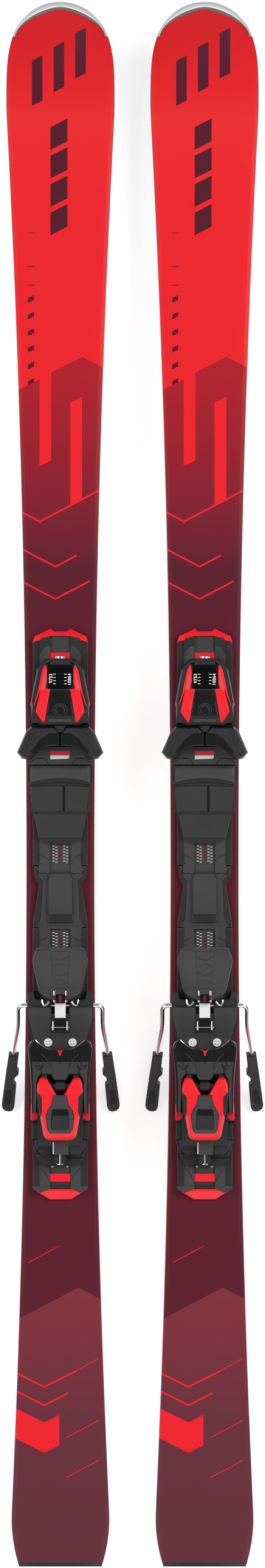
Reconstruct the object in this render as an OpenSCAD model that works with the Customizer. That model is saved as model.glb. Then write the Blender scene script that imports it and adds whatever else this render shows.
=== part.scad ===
// A pair of alpine skis with step-in bindings on adjustable rails.
// +X runs across the skis, +Y towards the tips, +Z up. The brakes are down and the
// heels stand open, so the tips of the brake arms are the lowest points, at Z = 0.

/* [Skis] */
// Distance from one ski's centre line to the other's
ski_spacing = 149.5; // [130:0.5:200]
// Ski length, tail end to tip, measured straight
ski_length = 1617.5; // [1610:0.5:1625]
// Full width at the waist
waist_w = 71; // [68:0.5:74]
// Full width at the shovel
shovel_w = 112.6; // [110:0.1:114]
// Radius of the sidecut arc
sidecut_r = 14700; // [14400:50:15000]
// Place of the waist along the ski
waist_y = -83.75; // [-100:0.25:-60]
// Thickness under the binding
mid_t = 14; // [12:0.5:16]
// Thickness at the tip and the tail
end_t = 5.5; // [5:0.5:6]
// Height of the cambered middle over the two contact lines
camber = 4.5; // [2:0.5:6]
// Rise of the tip over the front contact line
tip_rise = 46; // [40:1:55]
// Rise of the tail over the rear contact line
tail_rise = 9; // [6:1:12]
// Width and height of the steel edges
edge_s = 2.2; // [2:0.1:2.5]
// Width of each sidewall
sidewall_w = 5; // [4:0.5:6]
// Thickness of the top sheet
sheet_t = 0.9; // [0.8:0.1:1.2]

/* [Rails] */
// Half the width of the rail flanges that the bindings hold on to
rail_half = 28.6; // [28.4:0.1:28.7]
// Height of the flanges' underside over the ski
flange_z = 3.2; // [3:0.1:3.4]
// Height of the rails' raised panel
rail_h = 8.5; // [8:0.1:8.6]
// Free play round a rail
rail_play = 0.25; // [0.2:0.05:0.3]
// Front end of the front rail
front_rail_y1 = 154.4; // [153:0.2:156]
// Rear end of the front rail
front_rail_y0 = -82.5; // [-83:0.5:-80]
// Front end of the rear rail
rear_rail_y1 = -148; // [-150:0.5:-147.5]
// Rear end of the rear rail
rear_rail_y0 = -420; // [-424:1:-416]

/* [Toe piece] */
// Height of the toe spring's axis over the ski
toe_axis_z = 24; // [23.5:0.1:24.5]
// Radius of the spring bore in each housing
bore_r = 8.2; // [8:0.1:8.4]
// Place of the wing pivots across the ski
wing_x = 26; // [25.5:0.1:26.5]
// Place of the wing pivots along the ski
wing_y = 54; // [53.5:0.1:54.5]
// Radius of the wing pivot pins
wing_pin_r = 3; // [2.5:0.1:3.5]
// Top of the gliding plate that the boot stands on
afd_top = 19.8; // [19:0.2:20]

/* [Heel piece] */
// Place of the heel cup's pivot along the ski
cup_y = -318; // [-319:0.5:-317]
// Height of the heel cup's pivot over the ski
cup_z = 28; // [27:0.5:29]
// Place of the lever's pivot along the ski
lever_y = -310; // [-311:0.5:-309]
// Height of the lever's pivot over the ski
lever_z = 50; // [49:0.5:51]

/* [Brake] */
// Place of the arms' pivot along the ski
brake_y = -227.4; // [-228:0.2:-227]
// Height of the arms' pivot over the ski
brake_z = 13; // [12.8:0.1:13.2]
// Radius of the brake wire
wire_r = 2.4; // [2:0.1:2.6]
// Length of the arms from the pivot to the end of the claws
arm_length = 129; // [125:1:135]
// Thickness of the claws
claw_t = 9; // [8:0.5:10]
// Height of the ski's contact lines over the claws' lowest points
stand_z = 45; // [42:1:48]

/* [Hidden] */
$fn = 48;
RIGHT = 1;
LEFT = -1;
fit = 0.05;          // radial play of a running fit
nose_y = ski_length / 2;
tail_y = -nose_y;
shovel_y = nose_y - 107.5;
guard_y = 774;       // the tip guard's hooks end here
tail_cut_y = tail_y + 4;
flat_y1 = 170;       // the ski's top is flat under the binding
flat_y0 = -450;
top_z = stand_z + camber + mid_t;
pivot_z = top_z + brake_z;
arm_pitch = asin((pivot_z - claw_t / 2) / arm_length);
wall_y1 = 555;       // the sidewalls' ends
wall_y0 = -653;
window_w = 26;       // width of the toe window
screw_r = 2.4;       // shank of the rail screws

part_names = ["base", "edges", "core", "sidewalls", "top_sheet", "tip_guard", "tail_guard",
  "tracks", "track_bridge", "bumpers", "track_screws", "toe_carriage", "toe_housing",
  "toe_fairings", "toe_window", "toe_spring", "toe_nut", "toe_screw", "wing_outer",
  "wing_inner", "afd_pad", "heel_carriage", "heel_cup", "heel_lever", "heel_spring",
  "heel_screw", "brake_base", "brake_arms", "brake_claws", "brake_pedal"];

// ---------------------------------------------------------------- outlines

// A smooth step from 1 at a to 0 at b
function ease(y, a, b) = 0.5 + 0.5 * cos(180 * max(0, min(1, (y - a) / (b - a))));

// Half the ski's width at y: sidecut arc, rounded shovel, rounded tail
function half_width(y) =
  y > shovel_y ? shovel_w / 2 * sqrt(max(0, 1 - pow((y - shovel_y) / 107.5, 3.8)))
  : y < -759 ? half_width(-759) - 8 * pow((-759 - y) / 50, 2)
  : min(shovel_w / 2, waist_w / 2 + pow(y - waist_y, 2) / (2 * sidecut_r));

// Height of the running surface at y
function base_z(y) = stand_z + (
  y > 640 ? tip_rise * pow((y - 640) / (nose_y - 640), 2.2)
  : y > flat_y1 ? camber * ease(y, flat_y1, 640)
  : y > flat_y0 ? camber
  : y > -740 ? camber * (1 - ease(y, -740, flat_y0))
  : tail_rise * pow((-740 - y) / (-740 - tail_y), 1.8));

// Thickness of the ski at y
function thick(y) = end_t + (mid_t - end_t)
  * (y > 0 ? ease(y, 200, 660) : 1 - ease(y, -760, -470));

// Inner line of the tip guard
function guard_line(y) = 45.6 * sqrt(max(0, 1 - pow((y - guard_y) / (nose_y - 8 - guard_y), 2.4)));

long_ys = concat([for (y = [tail_y : 9 : -745]) y], [for (y = [-740 : 29 : flat_y0]) y],
  [flat_y1], [for (y = [200 : 44 : 640]) y], [for (y = [655 : 14 : nose_y - 2]) y], [nose_y]);
plan_ys = concat([for (y = [tail_cut_y : 9 : -759]) y], [for (y = [-740 : 80 : 620]) y],
  [for (y = [660 : 19 : 755]) y], [guard_y]);

// Right-hand outline points, mirrored to close the polygon
function closed(p) = concat(p, [for (i = [len(p) - 1 : -1 : 0]) [-p[i][0], p[i][1]]]);
function guard_pts() = [for (i = [0 : 10]) let (y = guard_y + (nose_y - 8 - guard_y) * sin(9 * i))
  [max(0.8, guard_line(y)), y]];
function body_pts(inset) = closed(concat([for (y = plan_ys) [half_width(y) - inset, y]], guard_pts()));
function nose_pts() = closed([for (i = [0 : 12])
  let (y = guard_y + (nose_y - guard_y) * sin(7.5 * i)) [max(0.8, half_width(y)), y]]);
wall_ys = concat([wall_y0], [for (y = plan_ys) if (y > wall_y0 && y < wall_y1) y], [wall_y1]);

// ---------------------------------------------------------------- builders

// A plan outline raised between two heights
module plan(pts, z0, z1) {
  translate([0, 0, z0]) linear_extrude(height = z1 - z0) polygon(pts);
}

// A side profile of [y, z] points, spread across the ski from x0 to x1
module side(pts, x0, x1) {
  translate([x0, 0, 0]) rotate([90, 0, 90]) linear_extrude(height = x1 - x0) polygon(pts);
}

// A cross-section of [x, z] points, run along the ski from y0 to y1
module section(pts, y0, y1) {
  translate([0, y1, 0]) rotate([90, 0, 0]) linear_extrude(height = y1 - y0) polygon(pts);
}

// A box given by its two corners
module block(lo, hi) {
  translate(lo) cube(hi - lo);
}

// Round bars along X and along Y
module bar_x(r, x0, x1, y, z) {
  translate([x0, y, z]) rotate([0, 90, 0]) cylinder(r = r, h = x1 - x0);
}
module bar_y(r, y0, y1, z, x = 0) {
  translate([x, y1, z]) rotate([90, 0, 0]) cylinder(r = r, h = y1 - y0);
}

// Both sides of a mirrored feature
module both() {
  children();
  mirror([1, 0, 0]) children();
}

// Lifts a binding part on to the ski's flat top
module on_top() {
  translate([0, 0, top_z]) children();
}

// Puts one ski in its place beside the other
module ski(which) {
  translate([which * ski_spacing / 2, 0, 0]) children();
}

// The ski's layer between two heights, as shares of thickness f and offsets d
module layer(f0, d0, f1, d1) {
  side(concat([for (y = long_ys) [y, base_z(y) + f0 * thick(y) + d0]],
    [for (i = [len(long_ys) - 1 : -1 : 0]) let (y = long_ys[i]) [y, base_z(y) + f1 * thick(y) + d1]]),
    -60, 60);
}

// A strip along one side, from a to b inside the outline
module strip(ys, a, b) {
  linear_extrude(height = 200) polygon(concat([for (y = ys) [half_width(y) - a, y]],
    [for (i = [len(ys) - 1 : -1 : 0]) [half_width(ys[i]) - b, ys[i]]]));
}

// ---------------------------------------------------------------- ski

// Sintered running base between the edges
module base() color([0.10, 0.09, 0.10]) intersection() {
  layer(0, 0, 0, edge_s);
  plan(body_pts(edge_s), 0, 200);
}

// Two steel edges
module edges() color([0.62, 0.63, 0.65]) intersection() {
  layer(0, 0, 0, edge_s);
  both() strip(plan_ys, 0, edge_s);
}

// Wood core, full width at both ends and narrower between the sidewalls
module core() color([0.72, 0.55, 0.36]) intersection() {
  layer(0, edge_s, 1, -sheet_t);
  plan(closed(concat(
    [for (y = plan_ys) if (y < wall_y0) [half_width(y) - 0.6, y]],
    [[half_width(wall_y0) - 0.6, wall_y0]],
    [for (y = wall_ys) [half_width(y) - sidewall_w, y]],
    [[half_width(wall_y1) - 0.6, wall_y1]],
    [for (y = plan_ys) if (y > wall_y1) [half_width(y) - 0.6, y]],
    guard_pts())), 0, 200);
}

// Two sidewalls over the edges
module sidewalls() color([0.78, 0.10, 0.14]) intersection() {
  layer(0, edge_s, 1, -sheet_t);
  both() strip(wall_ys, 0.4, sidewall_w);
}

// Printed top sheet, drilled for the rails' screws
module top_sheet() color([0.42, 0.10, 0.18]) difference() {
  intersection() {
    layer(1, -sheet_t, 1, 0);
    plan(body_pts(0.6), 0, 200);
  }
  for (p = screw_places) translate([p[0], p[1], top_z - 5]) cylinder(r = screw_r + 0.2, h = 10);
}

// Metal guard round the nose
module tip_guard() color([0.75, 0.76, 0.78]) intersection() {
  layer(0, 0, 1, 0.8);
  difference() {
    plan(nose_pts(), 0, 200);
    plan(closed(concat([[half_width(guard_y) - 2, guard_y - 1]], guard_pts())), -1, 201);
  }
}

// Plastic guard across the tail
module tail_guard() color([0.06, 0.06, 0.06]) intersection() {
  layer(0, 0, 1, 0.6);
  block([-half_width(tail_cut_y) + 0.3, tail_y, 0], [half_width(tail_cut_y) - 0.3, tail_cut_y, 200]);
}

// ---------------------------------------------------------------- rails

// Cross-section of a rail: narrow foot, flanges, raised panel with a channel
rail_pts = closed([[23, 0], [23, flange_z], [rail_half, flange_z], [rail_half, 6.2],
  [rail_half - 0.8, 7], [22, 7], [21, rail_h], [10.7, rail_h], [10.7, 5.5]]);
// Space that a binding piece needs round a rail
module rail_space(y0, y1) {
  block([-23 - rail_play, y0, -1], [23 + rail_play, y1, flange_z]);
  block([-rail_half - rail_play, y0, flange_z - rail_play],
    [rail_half + rail_play, y1, rail_h + rail_play]);
}

// Places of the rail screws
screw_places = [for (y = [138, 40, -70, -170, -300, -405]) each [[-6.5, y], [6.5, y]]];
front_rail_plan = closed([[10, front_rail_y1], [19.5, 151.5], [20.5, 149.6], [29, 147.5],
  [29, front_rail_y0]]);
rear_rail_plan = closed([[29, rear_rail_y1], [29, -415.4], [24.3, -415.8], [11, -417.6]]);
front_bumper = closed([[6.7, 159.4], [10.3, 162.2], [26.5, 154], [29, 147.5], [20.5, 149.6],
  [19.5, 151.5], [10, 154.4]]);
rear_bumper = closed([[11, -428.7], [24.3, -420.6], [24.3, -415.8], [11, -417.6]]);

// Front and rear rails, drilled and countersunk
module tracks() color([0.17, 0.17, 0.18]) on_top() difference() {
  union() {
    intersection() {
      section(rail_pts, front_rail_y0, front_rail_y1);
      plan(front_rail_plan, -1, 20);
    }
    intersection() {
      section(rail_pts, rear_rail_y0, rear_rail_y1);
      plan(rear_rail_plan, -1, 20);
    }
  }
  for (p = screw_places) translate([p[0], p[1], -1]) {
    cylinder(r = screw_r + 0.2, h = 20);
    translate([0, 0, 5]) cylinder(r = 4.3, h = 20);
  }
  // Adjusting slot along the rear channel
  block([-1.2, -404, 4.6], [1.2, -160, 20]);
}

// Centre plate that bridges the two rails
module track_bridge() color([0.20, 0.20, 0.21]) on_top() {
  plan(closed([[28, -146.8], [28, -141], [22.3, -104], [27, -91], [27, -83.6]]), 0, 6);
  plan(closed([[12.6, -142], [13.6, -134], [13.6, -97], [12, -91]]), 6, 8.4);
}

// Plastic bumpers at the rails' outer ends
module bumpers() color([0.95, 0.16, 0.20]) on_top() {
  intersection() {
    plan(front_bumper, 0, 12);
    side([[140, 0], [140, 9], [154.5, 9], [163, 3], [163, 0]], -40, 40);
  }
  intersection() {
    plan(rear_bumper, 0, 12);
    side([[-410, 0], [-410, 8], [-419, 8], [-429, 3], [-429, 0]], -40, 40);
  }
}

// Screws that hold the rails to the core
module track_screws() color([0.70, 0.71, 0.73]) on_top()
  for (p = screw_places) translate([p[0], p[1], 0]) difference() {
    union() {
      translate([0, 0, -8]) cylinder(r = screw_r, h = 8);
      cylinder(r = screw_r, h = 4);
      translate([0, 0, 4]) cylinder(r = 4.1, h = 1.2);
    }
    translate([0, 0, 3.4]) cylinder(r = 1.6, h = 4);
  }

// ---------------------------------------------------------------- toe piece

toe_plan = closed([[14.5, 131], [25.4, 121], [30.9, 84], [31, 0], [31, -28], [26.5, -29],
  [22.6, -54], [14, -59], [4, -60.5]]);

// Carriage that slides on the front rail and carries the wing pins
module toe_carriage() color([0.14, 0.14, 0.15]) on_top() difference() {
  union() {
    difference() {
      plan(toe_plan, 0.6, 13);
      rail_space(-70, 140);
    }
    both() translate([wing_x, wing_y, 0]) {
      translate([-5, -7, 12]) cube([10, 14, 8]);
      translate([0, 0, 9]) cylinder(r = wing_pin_r, h = 28.6);
    }
  }
  // Keyway for the gliding plate
  block([-29, 8, 10.2], [29, 14, 20]);
  // Finger steps at the rear
  for (y = [-34, -40, -46]) block([-16, y - 2, 11.8], [16, y, 20]);
}

// Height of the toe housing's roof along the ski
roof = [[131, 29], [127, 34.5], [99, 41], [85, 45.5], [66, 46.5], [62.3, 43]];
housing_plan = closed([[13.8, 130.8], [22, 122], [29.4, 86], [28.4, 81.5], [30, 62.3]]);

// Toe housing round the release spring
module toe_housing() color([0.13, 0.13, 0.14]) on_top() difference() {
  intersection() {
    plan(housing_plan, 13, 60);
    side(concat(roof, [[62.3, 13], [131, 13]]), -40, 40);
  }
  bar_y(bore_r, 66, 126, toe_axis_z);
  bar_y(5.4 + fit, 120, 140, toe_axis_z);
  // Window opening over the indicator
  block([-window_w / 2, 99.4, toe_axis_z], [window_w / 2, 124.6, 60]);
  // Recessed screw seat at the top
  translate([0, 77.2, 44]) cylinder(r = 7, h = 10);
  translate([0, 77.2, 38]) cylinder(r = 4.2, h = 20);
  // Round clearance behind each wing's hub
  both() translate([wing_x, wing_y, 13]) cylinder(r = 10.2, h = 60);
}

// Roof line of the housing moved up by d, between two points along the ski
function roof_z(y) = lookup(-y, [for (p = roof) [-p[0], p[1]]]);
module roof_skin(y1, y0, low, high, half) {
  ys = concat([y1], [for (p = roof) if (p[0] < y1 && p[0] > y0) p[0]], [y0]);
  side(concat([for (y = ys) [y, roof_z(y) + high]],
    [for (i = [len(ys) - 1 : -1 : 0]) [ys[i], roof_z(ys[i]) + low]]), -half, half);
}

// Two coloured fairings along the roof's edges
module toe_fairings() color([0.95, 0.16, 0.20]) on_top() intersection() {
  roof_skin(124.1, 64, 0, 1.5, 40);
  both() plan([[13.6, 124.1], [21, 113], [24.6, 84], [25.4, 75.6], [17.8, 64], [15.9, 69.3],
    [10.5, 98.2], [13.6, 98.8]], 0, 60);
}

// Clear window over the release setting
module toe_window() color([0.55, 0.60, 0.62, 0.4]) on_top()
  roof_skin(124.6, 99.4, -1.8, 0, window_w / 2);

// Coil spring along Y from y0 to y1, wire radius w. Each half turn is half a ring, tilted
// so that it climbs half the pitch, and ends a hair before the next one starts.
module coil(r, w, y0, y1, turns, z) {
  pitch = (y1 - y0 - 2 * w) / turns;
  tilt = atan(pitch / 4 / r);
  translate([0, y1 - w, z]) rotate([90, 0, 0])
    for (k = [0 : 2 * turns - 1]) translate([0, 0, (k + 0.5) * pitch / 2])
      rotate([0, 0, 180 * (k % 2)]) rotate([0, -tilt, 0]) rotate([0, 0, 180.2])
        rotate_extrude(angle = 179.6) translate([r / cos(tilt), 0]) circle(r = w, $fn = 24);
}

// Release spring behind the indicator
module toe_spring() color([0.60, 0.61, 0.62]) on_top() coil(5.9, 1.5, 68, 100, 5, toe_axis_z);

// Threaded indicator that the adjusting screw moves
module toe_nut() color([0.93, 0.93, 0.90]) on_top() difference() {
  bar_y(bore_r - 0.1, 112, 119, toe_axis_z);
  bar_y(3 + fit, 100, 130, toe_axis_z);
}

// Adjusting screw with its slotted head at the front
module toe_screw() color([0.80, 0.80, 0.80]) on_top() difference() {
  union() {
    bar_y(5.4, 126, 133, toe_axis_z);
    bar_y(3, 101.5, 126.5, toe_axis_z);
  }
  block([-4.4, 131, toe_axis_z - 0.8], [4.4, 140, toe_axis_z + 0.8]);
}

// Right-hand wing: round hub on its pin and a curved arm
module wing() difference() {
  union() {
    plan([[0.4, 54.2], [5.9, 60.5], [13.1, 60.5], [20, 60.2], [30, 60.9], [35, 56.1],
      [44.7, 33.8], [39.4, 27.5], [33.8, 26], [26.9, 29.6], [22.2, 34.7], [17.8, 38.4],
      [10.9, 40.3], [0.4, 40.9]], 26, 44);
    translate([wing_x, wing_y, 20.3]) cylinder(r = 7, h = 6);
  }
  translate([wing_x, wing_y, 10]) cylinder(r = wing_pin_r + fit, h = 28);
}
module wing_outer() color([0.16, 0.16, 0.17]) on_top() wing();
module wing_inner() color([0.16, 0.16, 0.17]) on_top() mirror([1, 0, 0]) wing();

// Gliding plate under the boot's toe, keyed across the carriage
module afd_pad() color([0.22, 0.22, 0.23]) on_top() {
  plan(closed([[34.6, 3], [34.6, 21.4], [27, 24], [24.5, 40.5]]), 13.2, afd_top);
  block([-22, 8.1, 10.5], [22, 13.9, 14]);
}

// ---------------------------------------------------------------- heel piece

// Carriage, side cheeks and spring tower in one housing
module heel_carriage() color([0.13, 0.13, 0.14]) on_top() difference() {
  union() {
    difference() {
      plan(closed([[30.4, -275.6], [30.4, -368], [23, -388], [19, -393.2], [11, -393.2]]), 0.6, 13);
      rail_space(-400, -270);
    }
    both() block([17, -347, 12], [30.2, -338.4, 25]);
    // Spring tower
    side([[-302.5, 12], [-302.5, 30], [-312, 38], [-345, 38], [-372, 31], [-380, 16], [-380, 12]],
      -23.5, 23.5);
    bar_x(4, -29, 29, cup_y, cup_z);
    // Lever lug and pin
    block([-5, lever_y - 5.5, 30], [5, lever_y + 5.5, lever_z]);
    bar_x(5.5, -5, 5, lever_y, lever_z);
    bar_x(3, -22, 22, lever_y, lever_z);
  }
  bar_y(bore_r, -400, -306, 22);
}

// Heel cup: two side walls on the pivot, roof, back wall and treadle
module heel_cup() color([0.10, 0.10, 0.11]) on_top() difference() {
  union() {
    both() side([[-262.3, 42], [-262.3, 59], [-268, 65], [-285, 63], [-305, 51], [-335, 34],
      [-335, 24], [-318, 19.5], [-300, 21], [-280, 30], [-268, 37]], 24.6, 29.3);
    side([[-262.3, 60], [-268, 65], [-285, 63], [-298.6, 55], [-298.6, 26], [-294, 22.6],
      [-266, 41], [-268, 45.5], [-293, 30], [-293, 54], [-284, 59]], -24.7, 24.7);
  }
  bar_x(4 + fit, -40, 40, cup_y, cup_z);
  // Round mouth of the lip and the treadle
  translate([0, -240.7, 0]) cylinder(r = 33.3, h = 100, $fn = 96);
}

// Step-out lever with two lobes on the lever pin
module heel_lever() color([0.95, 0.16, 0.20]) on_top() difference() {
  intersection() {
    union() {
      bar_x(9, -24, 24, lever_y, lever_z);
      side([[-306, 50], [-309, 57], [-319, 60], [-340, 57], [-364, 49], [-368.5, 44],
        [-366, 40.5], [-340, 43.5], [-318, 42]], -24, 24);
    }
    plan(closed([[4.4, -318.8], [14.7, -300], [21, -300], [23.8, -308], [23.8, -322],
      [21.5, -345], [17.6, -364], [12, -368.6]]), 0, 90);
  }
  bar_x(3 + fit, -40, 40, lever_y, lever_z);
  // Well of the pole pad
  plan(closed([[7, -334], [9, -337], [9, -352], [7, -355]]), 50, 70);
}

// Retention spring inside the tower
module heel_spring() color([0.60, 0.61, 0.62]) on_top() coil(5.9, 1.5, -361.4, -312, 8, 22);

// Forward-pressure screw, with its plug running in the tower's bore
module heel_screw() color([0.80, 0.80, 0.80]) on_top() difference() {
  union() {
    bar_y(bore_r - fit, -378, -371, 22);
    bar_y(3.2, -392, -378, 22);
  }
  block([-4, -393, 21.2], [4, -390, 22.8]);
}

// ---------------------------------------------------------------- brake

// Base that rides the rail in front of the heel and carries the brake wire
module brake_base() color([0.17, 0.17, 0.18]) on_top() difference() {
  union() {
    difference() {
      plan(closed([[19.5, -222], [26, -221], [27.5, -212.2], [33, -215.5], [35.3, -240.7],
        [29.4, -261.5], [29.4, -275.2]]), 0.6, 18);
      rail_space(-280, -200);
      // The deck drops towards the heel cup
      side([[-238, 30], [-238, 18], [-262, 14], [-280, 14], [-280, 30]], -40, 40);
    }
    // Pedal ears and pin
    both() block([11, -224, 9.2], [14.5, -214, 20.2]);
    bar_x(2, -12, 12, -217, 18);
  }
  bar_x(wire_r + fit, -40, 40, brake_y, brake_z);
  block([-9.2, -236, 9], [9.2, -219, 30]);
}

// One straight stretch of the brake wire, pitched down and turned out by yaw
module stretch(len, yaw) rotate([arm_pitch, 0, yaw]) rotate([90, 0, 0]) cylinder(r = wire_r, h = len);
function along(len, yaw) = len * [sin(yaw) * cos(arm_pitch), -cos(yaw) * cos(arm_pitch),
  -sin(arm_pitch)];

arm_start = [44, brake_y, pivot_z];
arm_lengths = [26, 29.5, arm_length - 55.5];
arm_yaws = [0, 9.5, 6.8];
bend_r = wire_r + 0.1;   // balls that round the wire's bends
kink = arm_start + along(arm_lengths[0], arm_yaws[0]);
claw_start = kink + along(arm_lengths[1], arm_yaws[1]);

// Bent brake wire: cross shaft through the base and two arms
module brake_arms() color([0.82, 0.82, 0.83]) {
  bar_x(wire_r, -arm_start[0], arm_start[0], brake_y, pivot_z);
  both() {
    translate(arm_start) sphere(r = bend_r);
    translate(arm_start) stretch(arm_lengths[0], arm_yaws[0]);
    translate(kink) sphere(r = bend_r);
    translate(kink) stretch(arm_lengths[1], arm_yaws[1]);
    translate(claw_start) sphere(r = bend_r);
    translate(claw_start) stretch(38, arm_yaws[2]);
  }
}

claw_end = -arm_lengths[2] - claw_t / 2;
claw_outline = [[-5.6, 1], [5.2, 1], [5.8, -34], [6.4, claw_end + 5.5], [5, claw_end + 1.8],
  [2.2, claw_end - 1], [-3.4, claw_end - 1], [-6, claw_end + 1.8], [-7, claw_end + 5.5],
  [-6.2, -44], [-4.2, -43], [-4.6, -33], [-7.6, -29], [-7.6, -26], [-5.4, -24]];

// Two plastic claws moulded on the wire's ends
module brake_claws() color([0.15, 0.15, 0.16]) both()
  translate(claw_start) rotate([arm_pitch, 0, arm_yaws[2]]) difference() {
    intersection() {
      union() {
        block([-7.6, -arm_lengths[2], -claw_t / 2], [6.4, 1, claw_t / 2]);
        bar_x(claw_t / 2, -7.6, 6.4, -(arm_lengths[2]), 0);
      }
      translate([0, 0, -claw_t]) linear_extrude(height = 2 * claw_t) polygon(claw_outline);
    }
    bar_y(wire_r + fit, -38.5, 5, 0);
    sphere(r = bend_r + fit);
    block([-3, -58, claw_t / 2 - 1.2], [3, -46, claw_t]);
  }

// Pedal that the boot's heel presses, hinged at its rear edge
module brake_pedal() color([0.20, 0.20, 0.21]) on_top() difference() {
  union() {
    intersection() {
      plan(closed([[10.5, -170.9], [13, -166.6], [24.6, -168.8], [28.7, -181.4], [22.4, -213],
        [16, -220], [8.6, -222]]), 0, 90);
      side([[-166, 47], [-181, 43], [-212, 26.5], [-222.5, 24], [-222.5, 21.5], [-212, 22],
        [-181, 37.5], [-166, 41.5]], -40, 40);
    }
    both() block([2, -219.4, 18], [10.4, -214, 25]);
    bar_x(3.6, -10.4, 10.4, -217, 18);
  }
  bar_x(2 + fit, -40, 40, -217, 18);
}

// ---------------------------------------------------------------- nodes

ski(LEFT) base();  // left_base
ski(LEFT) edges();  // left_edges
ski(LEFT) core();  // left_core
ski(LEFT) sidewalls();  // left_sidewalls
ski(LEFT) top_sheet();  // left_top_sheet
ski(LEFT) tip_guard();  // left_tip_guard
ski(LEFT) tail_guard();  // left_tail_guard
ski(LEFT) tracks();  // left_tracks
ski(LEFT) track_bridge();  // left_track_bridge
ski(LEFT) bumpers();  // left_bumpers
ski(LEFT) track_screws();  // left_track_screws
ski(LEFT) toe_carriage();  // left_toe_carriage
ski(LEFT) toe_housing();  // left_toe_housing
ski(LEFT) toe_fairings();  // left_toe_fairings
ski(LEFT) toe_window();  // left_toe_window
ski(LEFT) toe_spring();  // left_toe_spring
ski(LEFT) toe_nut();  // left_toe_nut
ski(LEFT) toe_screw();  // left_toe_screw
ski(LEFT) wing_outer();  // left_wing_outer
ski(LEFT) wing_inner();  // left_wing_inner
ski(LEFT) afd_pad();  // left_afd_pad
ski(LEFT) heel_carriage();  // left_heel_carriage
ski(LEFT) heel_cup();  // left_heel_cup
ski(LEFT) heel_lever();  // left_heel_lever
ski(LEFT) heel_spring();  // left_heel_spring
ski(LEFT) heel_screw();  // left_heel_screw
ski(LEFT) brake_base();  // left_brake_base
ski(LEFT) brake_arms();  // left_brake_arms
ski(LEFT) brake_claws();  // left_brake_claws
ski(LEFT) brake_pedal();  // left_brake_pedal
ski(RIGHT) base();  // right_base
ski(RIGHT) edges();  // right_edges
ski(RIGHT) core();  // right_core
ski(RIGHT) sidewalls();  // right_sidewalls
ski(RIGHT) top_sheet();  // right_top_sheet
ski(RIGHT) tip_guard();  // right_tip_guard
ski(RIGHT) tail_guard();  // right_tail_guard
ski(RIGHT) tracks();  // right_tracks
ski(RIGHT) track_bridge();  // right_track_bridge
ski(RIGHT) bumpers();  // right_bumpers
ski(RIGHT) track_screws();  // right_track_screws
ski(RIGHT) toe_carriage();  // right_toe_carriage
ski(RIGHT) toe_housing();  // right_toe_housing
ski(RIGHT) toe_fairings();  // right_toe_fairings
ski(RIGHT) toe_window();  // right_toe_window
ski(RIGHT) toe_spring();  // right_toe_spring
ski(RIGHT) toe_nut();  // right_toe_nut
ski(RIGHT) toe_screw();  // right_toe_screw
ski(RIGHT) wing_outer();  // right_wing_outer
ski(RIGHT) wing_inner();  // right_wing_inner
ski(RIGHT) afd_pad();  // right_afd_pad
ski(RIGHT) heel_carriage();  // right_heel_carriage
ski(RIGHT) heel_cup();  // right_heel_cup
ski(RIGHT) heel_lever();  // right_heel_lever
ski(RIGHT) heel_spring();  // right_heel_spring
ski(RIGHT) heel_screw();  // right_heel_screw
ski(RIGHT) brake_base();  // right_brake_base
ski(RIGHT) brake_arms();  // right_brake_arms
ski(RIGHT) brake_claws();  // right_brake_claws
ski(RIGHT) brake_pedal();  // right_brake_pedal
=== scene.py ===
import math

import bmesh
import bpy
import numpy as np
from mathutils import Matrix, Vector


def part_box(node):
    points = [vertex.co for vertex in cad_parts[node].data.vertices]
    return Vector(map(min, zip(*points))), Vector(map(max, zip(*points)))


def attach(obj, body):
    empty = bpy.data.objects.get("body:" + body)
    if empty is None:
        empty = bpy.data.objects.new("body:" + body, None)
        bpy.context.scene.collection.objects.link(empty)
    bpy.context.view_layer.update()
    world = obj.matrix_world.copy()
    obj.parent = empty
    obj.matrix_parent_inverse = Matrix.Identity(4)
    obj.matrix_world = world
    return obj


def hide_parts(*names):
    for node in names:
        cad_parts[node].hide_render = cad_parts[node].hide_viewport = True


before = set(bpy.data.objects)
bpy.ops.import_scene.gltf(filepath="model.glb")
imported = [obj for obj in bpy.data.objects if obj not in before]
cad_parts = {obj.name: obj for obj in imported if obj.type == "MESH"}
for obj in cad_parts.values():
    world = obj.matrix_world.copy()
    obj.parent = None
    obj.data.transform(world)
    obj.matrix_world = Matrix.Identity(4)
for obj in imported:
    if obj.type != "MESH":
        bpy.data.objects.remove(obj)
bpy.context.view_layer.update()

SIDES = ("left", "right")
# Every piece is drawn in millimetres from its ski's centre line and from the flat deck under
# the binding, and is carried to its place by these two measures of the frame.
SKI_X = {s: (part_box(s + "_top_sheet")[0].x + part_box(s + "_top_sheet")[1].x) / 2 for s in SIDES}
DECK_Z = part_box("left_tracks")[0].z

# ---------------------------------------------------------------------------------------------
# Ski blanks. Each ski is pressed from a running base, steel edges, a wood core, sidewalls under
# the binding and a top sheet that wraps down as a cap at the tip and the tail.
# ---------------------------------------------------------------------------------------------
NOSE_Y = 808.75
TAIL_Y = -808.75
SHOVEL_Y = 701.25
SHOVEL_R = 107.5
SHOVEL_HALF = 56.3
NOSE_POWER = 3.8
WAIST_Y = -83.75
WAIST_HALF = 35.5
SIDECUT_R = 14700.0
TAIL_ROUND_Y = -759.0
GUARD_Y = 774.0
TAIL_CUT_Y = TAIL_Y + 4
FRONT_CONTACT_Y = 640.0
REAR_CONTACT_Y = -740.0
TIP_RISE = 46.0
TAIL_RISE = 9.0
CAMBER = 4.5
CLAW_DROP = 45.0
END_THICKNESS = 5.5
BINDING_THICKNESS = 14.0
EDGE = 2.2
MM = 0.001
DECK = DECK_Z * 1000


def ease(y, a, b):
    """Smooth step from 1 at a to 0 at b, half a cosine wave."""
    return 0.5 + 0.5 * np.cos(math.pi * np.clip((y - a) / (b - a), 0, 1))


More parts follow.
